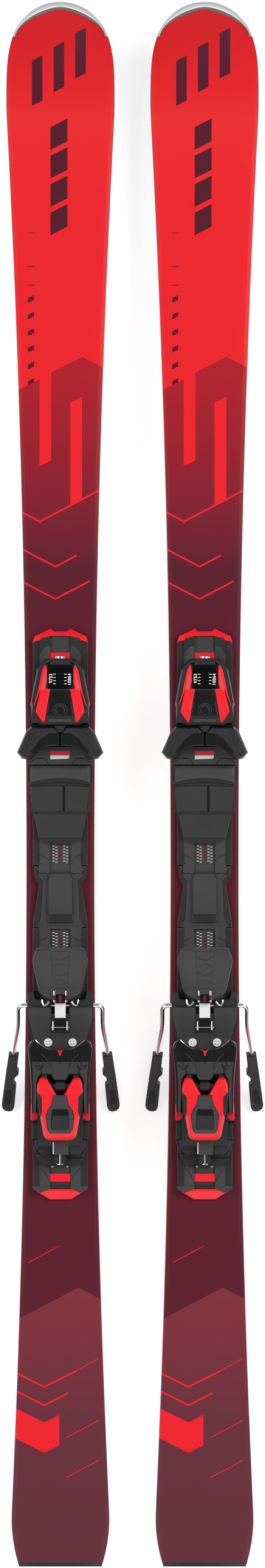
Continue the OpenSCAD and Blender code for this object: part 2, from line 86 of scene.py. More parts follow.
def half_width(y):
    """Half the width: sidecut arc (y - waist)^2 / 2R, capped at the shovel, rounded tail corners."""
    arc = np.minimum(SHOVEL_HALF, WAIST_HALF + (y - WAIST_Y) ** 2 / (2 * SIDECUT_R))
    tail = WAIST_HALF + (TAIL_ROUND_Y - WAIST_Y) ** 2 / (2 * SIDECUT_R)
    return np.where(y < TAIL_ROUND_Y, tail - 8 * ((TAIL_ROUND_Y - y) / 50) ** 2, arc)


def base_z(y):
    """Height of the running surface over the deck's: a camber eased in and out between the
    contact lines, a tip rise of power 2.2 and a tail rise of power 1.8 beyond them."""
    tip_share = np.maximum(y - FRONT_CONTACT_Y, 0) / (NOSE_Y - FRONT_CONTACT_Y)
    tail_share = np.maximum(REAR_CONTACT_Y - y, 0) / (REAR_CONTACT_Y - TAIL_Y)
    arch = ease(y, 170, FRONT_CONTACT_Y) * (1 - ease(y, REAR_CONTACT_Y, -450))
    rise = TIP_RISE * tip_share ** 2.2 + TAIL_RISE * tail_share ** 1.8
    return CLAW_DROP + rise + CAMBER * arch - DECK


def thick(y):
    """Thickness: full under the binding, eased to the thin tip and tail."""
    full = np.where(y > 0, ease(y, 200, 660), 1 - ease(y, -760, -470))
    return END_THICKNESS + (BINDING_THICKNESS - END_THICKNESS) * full


def spread(s, inset, share):
    """Plan points at stations s (0 tail to 1 nose), inset from the outline, at a share of the
    half width. The last tenth of the stations runs round the shovel's super-ellipse."""
    straight = TAIL_CUT_Y + (SHOVEL_Y - TAIL_CUT_Y) * np.minimum(s / 0.9, 1)
    turn = math.pi / 2 * np.clip((s - 0.9) / 0.1, 0, 1)
    y = np.where(s <= 0.9, straight, SHOVEL_Y + (SHOVEL_R - inset) * np.sin(turn))
    nose = (SHOVEL_HALF - inset) * np.sqrt(np.clip(1 - np.sin(turn) ** NOSE_POWER, 0, 1))
    x = np.where(s <= 0.9, half_width(straight) - inset, nose)
    return x * share, y


def loops(points):
    """Closed rings of points (rings, points in a ring, 3) joined by quads, both ends capped."""
    rings, count = points.shape[:2]
    i, k = np.meshgrid(np.arange(rings - 1), np.arange(count), indexing="ij")
    a = (i * count + k).ravel()
    b = (i * count + (k + 1) % count).ravel()
    faces = np.stack([a, b, b + count, a + count], 1).tolist()
    faces.append(list(range(count))[::-1])
    faces.append([(rings - 1) * count + n for n in range(count)])
    return outward(points.reshape(-1, 3), faces)


def outward(verts, faces):
    """The shell with its faces turned outwards: they are reversed if its signed volume, the sum
    of a . (b x c) / 6 over a fan of each face, is negative."""
    tris = np.array([(f[0], f[n], f[n + 1]) for f in faces for n in range(1, len(f) - 1)])
    a, b, c = verts[tris[:, 0]], verts[tris[:, 1]], verts[tris[:, 2]]
    if np.einsum("ij,ij->i", a, np.cross(b, c)).sum() < 0:
        faces = [list(f)[::-1] for f in faces]
    return verts, faces


def gather(*shapes):
    """Several (verts, faces) shapes as one."""
    verts, faces, start = [], [], 0
    for v, f in shapes:
        verts.append(np.asarray(v, float))
        faces += [[n + start for n in face] for face in f]
        start += len(v)
    return np.concatenate(verts), faces


def mirror(shape):
    """The shape and its mirror image across the ski's centre line."""
    verts, faces = shape
    other = np.asarray(verts, float) * [-1, 1, 1]
    return gather(shape, (other, [list(f)[::-1] for f in faces]))


def piece(side, name, body, material, shape, stands_for=(), bevel=0.0, sharp=32):
    """Puts a shape, drawn on one ski, in its place in the frame as a finished piece."""
    verts, faces = shape
    at = np.asarray(verts, float) * MM + [SKI_X[side], 0, DECK_Z]
    mesh = bpy.data.meshes.new(f"{side}_{name}")
    mesh.from_pydata(at.tolist(), [], faces)
    mesh.validate()
    mesh.shade_smooth()
    mesh.set_sharp_from_angle(angle=math.radians(sharp))
    obj = bpy.data.objects.new(f"{side}_{name}", mesh)
    bpy.context.scene.collection.objects.link(obj)
    mesh.materials.append(material)
    if bevel:
        soften(obj, bevel)
    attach(obj, f"{side}_{body}")
    if stands_for:
        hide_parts(*[f"{side}_{n}" for n in stands_for])
    return obj


def soften(obj, width):
    """Rounds every edge sharper than 28 degrees by width millimetres."""
    mod = obj.modifiers.new("edges", "BEVEL")
    mod.width = width * MM
    mod.segments = 2
    mod.limit_method = "ANGLE"
    mod.angle_limit = math.radians(28)
    mod.use_clamp_overlap = True
    mod.harden_normals = True


def linear(r, g, b):
    """Linear colour of display values 0 to 255."""
    c = np.array([r, g, b]) / 255
    c = np.where(c <= 0.04045, c / 12.92, ((c + 0.055) / 1.055) ** 2.4)
    return (*map(float, c), 1.0)


def put(tree, kind, ins=None, **settings):
    """One shader node: settings are its own, ins gives each socket a value or another's output."""
    n = tree.nodes.new(kind)
    for key, value in settings.items():
        setattr(n, key, value)
    for key, value in (ins or {}).items():
        if isinstance(value, bpy.types.NodeSocket):
            tree.links.new(value, n.inputs[key])
        else:
            n.inputs[key].default_value = value
    return n


def math_node(tree, operation, *values):
    """Output of a Math node with the values or sockets given."""
    return put(tree, "ShaderNodeMath", dict(enumerate(values)), operation=operation).outputs[0]


def blended(tree, mask, under, over):
    """Colour under, with colour over where the mask is 1."""
    n = put(tree, "ShaderNodeMix", {0: mask, 6: under, 7: over}, data_type="RGBA")
    return n.outputs[2]


def group(name, takes, gives):
    """An empty shader group with float or vector inputs and outputs, each (name, kind)."""
    g = bpy.data.node_groups.new(name, "ShaderNodeTree")
    for label, kind in takes:
        g.interface.new_socket(name=label, in_out="INPUT", socket_type="NodeSocket" + kind)
    for label, kind in gives:
        g.interface.new_socket(name=label, in_out="OUTPUT", socket_type="NodeSocket" + kind)
    return g, g.nodes.new("NodeGroupInput").outputs, g.nodes.new("NodeGroupOutput").inputs


def use(tree, g, **ins):
    """A group placed in a material, each socket given a value or another node's output."""
    n = tree.nodes.new("ShaderNodeGroup")
    n.node_tree = g
    for key, value in ins.items():
        if isinstance(value, bpy.types.NodeSocket):
            tree.links.new(value, n.inputs[key])
        else:
            n.inputs[key].default_value = value
    return n.outputs


def surface(name, roughness, metallic=0.0, specular=0.35):
    """A material with one Principled BSDF; returns it, its tree and the shader's inputs."""
    mat = bpy.data.materials.new(name)
    mat.use_nodes = True
    tree = mat.node_tree
    bsdf = tree.nodes["Principled BSDF"]
    bsdf.inputs["Roughness"].default_value = roughness
    bsdf.inputs["Metallic"].default_value = metallic
    bsdf.inputs["Specular IOR Level"].default_value = specular
    return mat, tree, bsdf.inputs


# Printed bar: 1 inside Left..Right and Bottom..Top, whose ends follow the line
# Slant x (X - Apex), folded into a chevron by |X - Apex| where Fold is 1. Edges are 0.2 mm soft.
BAR, g_in, g_out = group(
    "Printed bar",
    [(n, "Float") for n in ("X", "Y", "Left", "Right", "Apex", "Top", "Bottom", "Slant", "Fold")],
    [("Mask", "Float")])
reach = math_node(BAR, "SUBTRACT", g_in["X"], g_in["Apex"])
folded = math_node(BAR, "SUBTRACT", math_node(BAR, "ABSOLUTE", reach), reach)
reach = math_node(BAR, "MULTIPLY_ADD", folded, g_in["Fold"], reach)
lean = math_node(BAR, "SUBTRACT", g_in["Y"], math_node(BAR, "MULTIPLY", reach, g_in["Slant"]))
from_sides = math_node(BAR, "MINIMUM", math_node(BAR, "SUBTRACT", g_in["X"], g_in["Left"]),
                       math_node(BAR, "SUBTRACT", g_in["Right"], g_in["X"]))
from_ends = math_node(BAR, "MINIMUM", math_node(BAR, "SUBTRACT", g_in["Top"], lean),
                      math_node(BAR, "SUBTRACT", lean, g_in["Bottom"]))
inside = math_node(BAR, "MINIMUM", from_sides, from_ends)
inside = put(BAR, "ShaderNodeMath", {0: inside, 1: 5.0, 2: 0.5}, operation="MULTIPLY_ADD",
             use_clamp=True).outputs[0]
BAR.links.new(inside, g_out["Mask"])

# Woven dots: the product of two sine waves of the given pitch, turned to 0..1.
WEAVE, g_in, g_out = group("Woven dots", [("X", "Float"), ("Y", "Float"), ("Pitch", "Float")],
                           [("Mask", "Float")])
wave = [math_node(WEAVE, "SINE", math_node(WEAVE, "DIVIDE", math_node(
    WEAVE, "MULTIPLY", g_in[axis], turns), g_in["Pitch"]))
    for axis, turns in (("X", 2 * math.pi), ("Y", 3.4 * math.pi))]
dots = math_node(WEAVE, "MULTIPLY_ADD", math_node(WEAVE, "MULTIPLY", *wave), 0.5, 0.5)
WEAVE.links.new(dots, g_out["Mask"])

# Colours of the print along the ski, as (metres, colour) stops of a ramp RAMP_MM long.
RAMP_MM = 1620.0
RED_FIELD = [(-0.81, (232, 34, 42)), (0.60, (232, 34, 42)), (0.69, (229, 44, 47)),
             (0.725, (222, 34, 40)), (0.80, (198, 16, 26))]
DARK_FIELD = [(-0.81, (92, 28, 44)), (0.225, (92, 28, 44)), (0.277, (122, 30, 46)),
              (0.42, (172, 29, 41)), (0.81, (172, 29, 41))]
TAIL_FIELD = [(-0.81, (100, 46, 60)), (-0.66, (104, 47, 60)), (-0.52, (128, 48, 60))]
INK = (84, 26, 42)
BRIGHT = (236, 34, 44)
# Printed bars: left, right, apex, top, bottom, slant and fold of each, in millimetres.
BLOCKS = [(-9.6, 60, 22.5, 443.5, -900, -0.51, 1), (-60, -21.7, -21.7, 420.2, -900, 0.5, 0),
          (-22, -9.3, -21.7, 330, -900, 0.52, 0)]
TAIL_BLOCKS = [(-60, 60, 18.8, -519.8, -900, -0.526, 1)]
MARKS = ([(x - 5.5, x + 5.5, x, top, top - 46, 0.51, 0) for x, top in
          ((-24, 752), (-1.5, 766), (21, 780))]
         + [(-10.3, 7.3, -1.5, 686 - 29.5 * n, 662.5 - 29.5 * n, 0.51, 0) for n in range(4)]
         + [(-34.3, -26.7, -30.5, y + 0.4, y - 0.4, 0, 0) for y in (572, 537.4, 517.9)]
         + [(-33.6, -27.4, -30.5, 506 - 17.2 * n, 501 - 17.2 * n, 0.51, 0) for n in range(7)])
STRIPES = ([(10.3, 22.5, 10.3, 396, 289.4, 0.52, 0), (-60, 60, -21.4, 273.8, 271.8, 0.524, 1),
            (-42, 17, -5.2, 227.2, 225.3, 0.52, 1), (-42, 30, -5.2, 193.7, 191.8, 0.52, 1),
            (-60, -1.3, -16.8, -660, -691.4, 0.5, 1), (-60, 8, -16.8, -641, -642.9, 0.5, 1),
            (-60, 17, -16.8, -622, -623.9, 0.5, 1), (-33, -1.3, -33, -493.5, -494.3, 0.536, 0)]
           + [(6.4, 39.7, 6.4, y + 0.4, y - 0.4, 0.53, 0) for y in (-611.1, -675.4, -716.9)])


def ramp(tree, y, stops):
    """Colour along the ski, from (metres, colour) stops."""
    n = put(tree, "ShaderNodeValToRGB", {0: math_node(tree, "MULTIPLY_ADD", y, 1 / RAMP_MM, 0.5)})
    while len(n.color_ramp.elements) < len(stops):
        n.color_ramp.elements.new(0.5)
    for element, (at, colour) in zip(n.color_ramp.elements, stops):
        element.position = at / (RAMP_MM / 1000) + 0.5
        element.color = linear(*colour)
    return n.outputs[0]


def printed_mask(tree, x, y, bars):
    """The union of several printed bars."""
    mask = None
    for left, right, apex, top, bottom, slant, fold in bars:
        one = use(tree, BAR, X=x, Y=y, Left=left, Right=right, Apex=apex, Top=top, Bottom=bottom,
                  Slant=slant, Fold=fold)["Mask"]
        mask = one if mask is None else math_node(tree, "MAXIMUM", mask, one)
    return mask


def place_mm(tree, side):
    """X and Y in millimetres from the ski's centre."""
    at = put(tree, "ShaderNodeMapping", {
        "Vector": put(tree, "ShaderNodeTexCoord").outputs["Object"],
        "Location": (-SKI_X[side] * 1000, 0, 0), "Scale": (1000, 1000, 1000)}).outputs[0]
    parts = put(tree, "ShaderNodeSeparateXYZ", {0: at}).outputs
    return parts[0], parts[1], at


def top_print(side):
    """Lacquered top sheet: red field, crimson and maroon blocks, chevrons, fine woven texture."""
    mat, tree, out = surface(f"{side}_top_print", 0.38, specular=0.13)
    x, y, at = place_mm(tree, side)
    weave = use(tree, WEAVE, X=x, Y=y, Pitch=2.6)["Mask"]
    colour = ramp(tree, y, RED_FIELD)
    colour = blended(tree, printed_mask(tree, x, y, MARKS), colour, linear(*INK))
    colour = blended(tree, printed_mask(tree, x, y, BLOCKS), colour, ramp(tree, y, DARK_FIELD))
    colour = blended(tree, printed_mask(tree, x, y, TAIL_BLOCKS), colour,
                     ramp(tree, y, TAIL_FIELD))
    colour = blended(tree, printed_mask(tree, x, y, STRIPES), colour, linear(*BRIGHT))
    cloud = put(tree, "ShaderNodeTexNoise", {"Vector": at, "Scale": 0.006, "Detail": 2.0})
    shade = math_node(tree, "MULTIPLY_ADD", cloud.outputs[0], 0.10, 0.93)
    shade = math_node(tree, "MULTIPLY_ADD", weave, 0.05, shade)
    tinted = put(tree, "ShaderNodeVectorMath", {0: colour, 1: put(
        tree, "ShaderNodeCombineXYZ", {0: shade, 1: shade, 2: shade}).outputs[0]},
        operation="MULTIPLY").outputs[0]
    tree.links.new(tinted, out["Base Color"])
    scuff = put(tree, "ShaderNodeTexNoise", {"Vector": at, "Scale": 0.05, "Detail": 4.0})
    tree.links.new(math_node(tree, "MULTIPLY_ADD", scuff.outputs[0], 0.16, 0.30),
                   out["Roughness"])
    bump = put(tree, "ShaderNodeBump", {"Strength": 0.25, "Distance": 0.00005, "Height": weave})
    tree.links.new(bump.outputs[0], out["Normal"])
    return mat


stations = np.concatenate([np.linspace(0, 0.9, 150), np.linspace(0.9, 1, 42)[1:]])[:, None]


def shell(insets, shares, heights):
    """Rings across the ski from inset, share of the half width and height(y) of each point."""
    inset, share = np.array(insets)[None, :], np.array(shares, float)[None, :]
    x, y = spread(stations, inset, share)
    z = np.stack([h(y[:, n]) for n, h in enumerate(heights)], 1)
    return loops(np.stack([x, y, z], 2))


def above(dz):
    """Height dz over the ski's top."""
    return lambda y: base_z(y) + thick(y) + dz


def capped(y):
    """1 where the top sheet wraps down over the tip or the tail, 0 between the sidewalls."""
    return 1 - ease(y, 540, 570) * (1 - ease(y, -670, -640))


def skirt(y):
    """Foot of the top sheet's side: a thin lip over the sidewall, the whole depth at the ends."""
    return base_z(y) + np.where(capped(y) > 0.5, EDGE + 0.05, thick(y) - 1.75)


across = np.linspace(-1, 1, 9)
sheet_insets = [0.6, 0.6, 0.9, 4.2] + [4.7] * 9 + [4.2, 0.9, 0.6, 0.6, 3.0] + [4.7] * 2 + [3.0]
sheet_shares = [-1] * 4 + across.tolist() + [1] * 5 + [0.97, -0.97] + [-1]
sheet_heights = ([skirt, above(-1.5), above(-1.1), above(-0.06)] + [above(0)] * 9
                 + [above(-0.06), above(-1.1), above(-1.5), skirt, skirt]
                 + [above(-0.9)] * 2 + [skirt])
wall_y = np.linspace(-653, 555, 90)
PRINT = {s: top_print(s) for s in SIDES}


def wall_strip(ys, insets, heights):
    """A strip along one side: rings of points inset from the outline at heights(y)."""
    inset = np.array(insets)[None, :]
    x = half_width(ys)[:, None] - inset
    z = np.stack([h(ys) for h in heights], 1)
    return loops(np.stack([x, np.broadcast_to(ys[:, None], x.shape), z], 2))


def flecked(name, colour, roughness, metallic=0.0, specular=0.35, scale=900.0, depth=0.12,
            fleck=0.2):
    """A moulded or metal finish: fine grain in the colour, the roughness and the surface."""
    mat, tree, out = surface(name, roughness, metallic, specular)
    at = put(tree, "ShaderNodeTexCoord").outputs["Object"]
    marks = use(tree, GRAIN, Vector=at, Scale=scale)
    shade = math_node(tree, "MULTIPLY_ADD", marks["Fine"], fleck, 1 - fleck / 2)
    shade = math_node(tree, "MULTIPLY_ADD", marks["Broad"], fleck, shade)
    shade = math_node(tree, "SUBTRACT", shade, fleck / 2)
    rgb = linear(*colour)
    tint = put(tree, "ShaderNodeCombineXYZ", {n: math_node(tree, "MULTIPLY", shade, rgb[n])
                                             for n in range(3)}).outputs[0]
    tree.links.new(tint, out["Base Color"])
    rough = math_node(tree, "MULTIPLY_ADD", marks["Broad"], 0.16, roughness - 0.08)
    tree.links.new(rough, out["Roughness"])
    bump = put(tree, "ShaderNodeBump", {"Strength": depth, "Distance": 0.0001,
                                        "Height": marks["Fine"]})
    tree.links.new(bump.outputs[0], out["Normal"])
    return mat


# Moulding grain: a fine noise and a broad one, both 0..1 about 0.5.
GRAIN, g_in, g_out = group("Moulding grain", [("Vector", "Vector"), ("Scale", "Float")],
                           [("Fine", "Float"), ("Broad", "Float")])
for label, share, detail in (("Fine", 1.0, 3.0), ("Broad", 0.06, 2.0)):
    noise = put(GRAIN, "ShaderNodeTexNoise", {
        "Vector": g_in["Vector"], "Detail": detail,
        "Scale": math_node(GRAIN, "MULTIPLY", g_in["Scale"], share)})
    GRAIN.links.new(noise.outputs[0], g_out[label])

SINTERED = flecked("sintered_base", (26, 23, 26), 0.45, scale=1500, fleck=0.3)
EDGE_STEEL = flecked("edge_steel", (178, 180, 184), 0.24, metallic=1.0, scale=700, fleck=0.1)
SIDE_RED = flecked("sidewall_red", (236, 60, 62), 0.4, scale=800, fleck=0.08)
WOOD = flecked("core_wood", (186, 146, 100), 0.6, scale=300, fleck=0.3)

for s in SIDES:
    piece(s, "printed_top", "ski", PRINT[s],
          shell(sheet_insets, sheet_shares, sheet_heights), ("top_sheet",))
    piece(s, "running_base", "ski", SINTERED,
          shell([EDGE] * 14,
                np.concatenate([np.linspace(-1, 1, 7), np.linspace(1, -1, 7)]),
                [base_z] * 7 + [lambda y: base_z(y) + EDGE] * 7), ("base",))
    edge_y = np.linspace(TAIL_CUT_Y, GUARD_Y - 0.5, 160)
    plan_half = np.where(edge_y > SHOVEL_Y, SHOVEL_HALF * np.sqrt(
        1 - (np.maximum(edge_y - SHOVEL_Y, 0) / SHOVEL_R) ** NOSE_POWER), half_width(edge_y))
    ring = np.array([[0.3, 0], [0, 0.3], [0, 1.9], [0.3, 2.2], [2.2, 2.2], [2.2, 0]])
    edge = loops(np.stack([
        plan_half[:, None] - ring[:, 0], np.broadcast_to(edge_y[:, None], (len(edge_y), 6)),
        base_z(edge_y)[:, None] + ring[:, 1]], 2))
    piece(s, "steel_edges", "ski", EDGE_STEEL, mirror(edge), ("edges",))
    core = shell([1.2] * 16,
                 np.concatenate([np.linspace(-1, 1, 8), np.linspace(1, -1, 8)]) * 0.9,
                 [lambda y: base_z(y) + EDGE] * 8 + [above(-1.0)] * 8)
    piece(s, "wood_core", "ski", WOOD, core, ("core",))
    wall = wall_strip(wall_y, [0.35, 0.35, 1.35, 4.8, 4.8],
                      [lambda y: base_z(y) + EDGE, lambda y: base_z(y) + EDGE + 0.8,
                       above(-1.5), above(-1.5), lambda y: base_z(y) + EDGE])
    piece(s, "red_sidewalls", "ski", SIDE_RED, mirror(wall), ("sidewalls",))

# ---------------------------------------------------------------------------------------------
# Tip and tail guards. A polished metal band is folded over the nose and let into the top sheet,
# and a strip of black plastic closes the square-cut tail.
# ---------------------------------------------------------------------------------------------
GUARD_METAL = flecked("guard_metal", (186, 187, 190), 0.36, metallic=0.35, scale=500, fleck=0.1)
# Near-white bead colour: painted highlight along the guard's raised step.
BEAD_HIGHLIGHT = flecked("bead_painted_highlight", (240, 240, 240), 0.3, metallic=0.2, scale=500, fleck=0.05)
# Dark grey for the guard's inner band: painted shade.
GUARD_SHADE = flecked("guard_painted_shade", (104, 105, 106), 0.5, metallic=0.2, scale=500, fleck=0.1)
BLACK = flecked("moulded_black", (38, 38, 39), 0.42, scale=1100, fleck=0.25)


def nose_band(share, lift):
    """Rings round the nose: share 0 is the outline, 1 the guard's inner line; lift is the height
    over the top sheet at each share."""
    turn = np.concatenate([[0], np.linspace(0.012, math.pi - 0.012, 90), [math.pi]])[:, None]
    share, lift = np.asarray(share, float), np.asarray(lift, float)
    out_y = GUARD_Y + (NOSE_Y - GUARD_Y) * np.sin(turn)
    fall = ((out_y - SHOVEL_Y) / SHOVEL_R) ** NOSE_POWER
    out_x = SHOVEL_HALF * np.sqrt(np.clip(1 - fall, 0, 1))
    in_y = GUARD_Y + 26.75 * np.sin(turn)
    in_x = 45.6 * np.clip(1 - np.sin(turn) ** 1.8, 0, 1) ** 0.72
    flip = np.sign(np.cos(turn))
    x = flip * (out_x + (in_x - out_x) * share)
    y = out_y + (in_y - out_y) * share
    return loops(np.stack([x, y, base_z(y) + thick(y) + lift], 2))


for s in SIDES:
    band = nose_band([0, 0.02, 0.10, 0.22, 0.34, 0.42, 0.52, 0.66, 0.9, 0.96, 1, 1, 0.5, 0],
                     [-3.2, -1.2, 0.1, 0.55, 0.7, 0.62, 0.5, 0.45, 0.45, 0.4, 0.2, -1, -4.4, -5.4])
    piece(s, "nose_guard", "ski", GUARD_METAL, band, ("tip_guard",), sharp=50)
    # The bead's low ridge is modelled; its near-white colour is a painted highlight.
    piece(s, "guard_bead", "ski", BEAD_HIGHLIGHT,
          nose_band([0.53, 0.56, 0.6, 0.64, 0.67, 0.6], [0.2, 0.68, 0.76, 0.68, 0.2, 0]))
    # The guard's inner band in dark grey: painted shade along the edge of the red print.
    piece(s, "guard_lip", "ski", GUARD_SHADE,
          nose_band([0.68, 0.7, 0.98, 1.02, 0.85], [0.2, 0.62, 0.62, 0.2, 0]))
    tail_y = np.linspace(TAIL_Y, TAIL_CUT_Y, 5)
    ring = np.array([[-1, 0.2], [-1, 5.8], [-0.985, 6.1], [0.985, 6.1], [1, 5.8], [1, 0.2]])
    tail = loops(np.stack([half_width(tail_y)[:, None] * ring[:, 0] - 0.3 * ring[:, 0],
                           np.broadcast_to(tail_y[:, None], (5, 6)),
                           base_z(tail_y)[:, None] + ring[:, 1]], 2))
    piece(s, "tail_strip", "ski", BLACK, tail, ("tail_guard",), bevel=0.3)

# ---------------------------------------------------------------------------------------------
# Rails. Two grooved plates of glass-filled plastic are screwed to the core and take the bindings;
# a loose plate bridges them. Red plastic bumpers close their outer ends.
# ---------------------------------------------------------------------------------------------
RAIL = flecked("rail_plastic", (60, 60, 60), 0.5, scale=1200, fleck=0.14, depth=0.2)
# A darker copy of the rail plastic, used as painted shade on sides and slopes such as the rails'
# outer shoulders.
DARK = flecked("shaded_plastic", (37, 37, 38), 0.45, scale=1200, fleck=0.2, depth=0.2)
MID = flecked("moulded_plastic", (47, 47, 48), 0.5, scale=1200, fleck=0.16, depth=0.2)
RED = flecked("red_plastic", (246, 22, 38), 0.4, scale=900, fleck=0.07, depth=0.08)
# Lighter red for facets turned to the light: painted highlight on the red plastic.
LIT_RED = flecked("red_plastic_painted_highlight", (226, 74, 80), 0.4, scale=900, fleck=0.1, depth=0.08)
SCREW_STEEL = flecked("plated_steel", (190, 192, 196), 0.22, metallic=1.0, scale=900, fleck=0.1)
WHITE = flecked("white_mark", (214, 214, 212), 0.45, scale=900, fleck=0.08)
MAROON = flecked("maroon_mark", (100, 18, 46), 0.45, scale=900, fleck=0.1)


def inset_outline(outline, gap):
    """Each corner moved in along the mean of its two edges' normals, gap from both edges."""
    p = np.asarray(outline, float)
    ahead = np.roll(p, -1, 0) - p
    ahead /= np.linalg.norm(ahead, axis=1)[:, None]
    area = np.sum(p[:, 0] * np.roll(p[:, 1], -1) - np.roll(p[:, 0], -1) * p[:, 1])
    inward = np.stack([-ahead[:, 1], ahead[:, 0]], 1) * np.sign(area)
    before = np.roll(inward, 1, 0)
    total = inward + before
    return p + gap * total / np.maximum(1 + np.sum(inward * before, 1), 0.35)[:, None]


def slab(outline, low, high, inset=0.0, drop=0.0):
    """A plan outline raised from low to high; its top is drawn in by inset over the last drop."""
    p = np.asarray(outline, float)
    rings = [(p, low), (p, high - drop), (inset_outline(p, inset), high)]
    if not inset:
        rings = rings[:1] + [(p, high)]
    return loops(np.stack([np.column_stack([q, np.full(len(q), z)]) for q, z in rings]))


def both(right):
    """The right half of an outline, closed by its mirror image."""
    right = np.asarray(right, float)
    return np.concatenate([right, right[::-1] * [-1, 1]])


def box(x0, x1, y0, y1, z0, z1, inset=0.0):
    """A rectangular slab between two corners, chamfered by inset round its top."""
    return slab([(x0, y0), (x1, y0), (x1, y1), (x0, y1)], z0, z1, inset, inset)


def stripe(path, width, height, thickness=0.07):
    """A ribbon of even width along a plan path, lying on the surface z = height(y)."""
    p = np.asarray(path, float)
    way = np.gradient(p, axis=0)
    way /= np.linalg.norm(way, axis=1)[:, None]
    side_step = np.stack([-way[:, 1], way[:, 0]], 1) * width / 2
    ring = np.stack([p + side_step, p - side_step, p - side_step, p + side_step], 1)
    z = np.array([height(y) for y in p[:, 1]], float)[:, None] + [
        thickness, thickness, -0.05, -0.05]
    return loops(np.concatenate([ring, z[:, :, None]], 2))


def level(z):
    """A height or a side that is the same all along."""
    return lambda y: z + 0 * y


def curve(*points):
    """A value along the ski, linear between (y, value) points."""
    at = np.array(sorted(points), float)
    return lambda y: np.interp(y, at[:, 0], at[:, 1])


def loft(y0, y1, left, right, low, high, rim=0.8, crown=0.0, rows=48):
    """Rings across the ski between y0 and y1: sides at left(y) and right(y), a top at high(y)
    rounded over rim and raised by crown x (1 - t^2) in the middle, and a flat foot at low(y)."""
    y = np.linspace(y0, y1, rows)
    a, b, foot, top = (np.broadcast_to(f(y), y.shape) for f in (left, right, low, high))
    r = np.minimum(rim, (b - a) * 0.3)
    turn = np.linspace(0, math.pi / 2, 4)
    t = np.linspace(-1, 1, 9)
    mid, half = (a + b) / 2, (b - a) / 2 - r
    xs = ([a] + [a + r * (1 - np.cos(q)) for q in turn] + [mid + half * k for k in t[1:-1]]
          + [b - r * (1 - np.cos(q)) for q in turn[::-1]] + [b])
    zs = ([foot] + [top - r + r * np.sin(q) for q in turn]
          + [top + crown * (1 - k * k) for k in t[1:-1]]
          + [top - r + r * np.sin(q) for q in turn[::-1]] + [foot])
    return loops(np.stack([np.stack(xs, 1), np.broadcast_to(y[:, None], (rows, len(xs))),
                           np.stack(zs, 1)], 2))


def wide(half):
    """Left side of a symmetric loft."""
    return lambda y: -half(y)


def turned(x, y, radii, heights, sides=32):
    """A turned shape about an upright axis: rings of the radii at the heights."""
    q = np.linspace(0, 2 * math.pi, sides, endpoint=False)
    r, z = np.array(radii, float)[:, None], np.array(heights, float)[:, None]
    return loops(np.stack([x + r * np.cos(q), y + r * np.sin(q), z + 0 * q], 2))


def cast(side, node, body, material, width):
    """The CAD piece's own shape: a copy with its triangles merged to faces and edges rounded."""
    mesh = bpy.data.meshes.new(f"{side}_{node}_body")
    bm = bmesh.new()
    bm.from_mesh(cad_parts[f"{side}_{node}"].data)
    bmesh.ops.remove_doubles(bm, verts=bm.verts, dist=2e-6)
    bmesh.ops.dissolve_limit(bm, angle_limit=math.radians(1.2), verts=bm.verts, edges=bm.edges)
    bm.to_mesh(mesh)
    bm.free()
    mesh.shade_smooth()
    mesh.set_sharp_from_angle(angle=math.radians(30))
    obj = bpy.data.objects.new(f"{side}_{node}_body", mesh)
    bpy.context.scene.collection.objects.link(obj)
    mesh.materials.clear()
    mesh.materials.append(material)
    soften(obj, width)
    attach(obj, f"{side}_{body}")
    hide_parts(f"{side}_{node}")
    return obj


def finish(side, node, material):
    """A CAD piece shown as it is, in a finish of its own."""
    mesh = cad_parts[f"{side}_{node}"].data
    mesh.materials.clear()
    mesh.materials.append(material)


def draped(outline, height, low, high, inset):
    """A plan outline lying on z = height(y), from height + low to height + high, chamfered."""
    p = np.asarray(outline, float)
    q = inset_outline(p, inset)
    rings = [np.column_stack([p, height(p[:, 1]) + low]),
             np.column_stack([p, height(p[:, 1]) + high - inset]),
             np.column_stack([q, height(q[:, 1]) + high])]
    return loops(np.stack(rings))


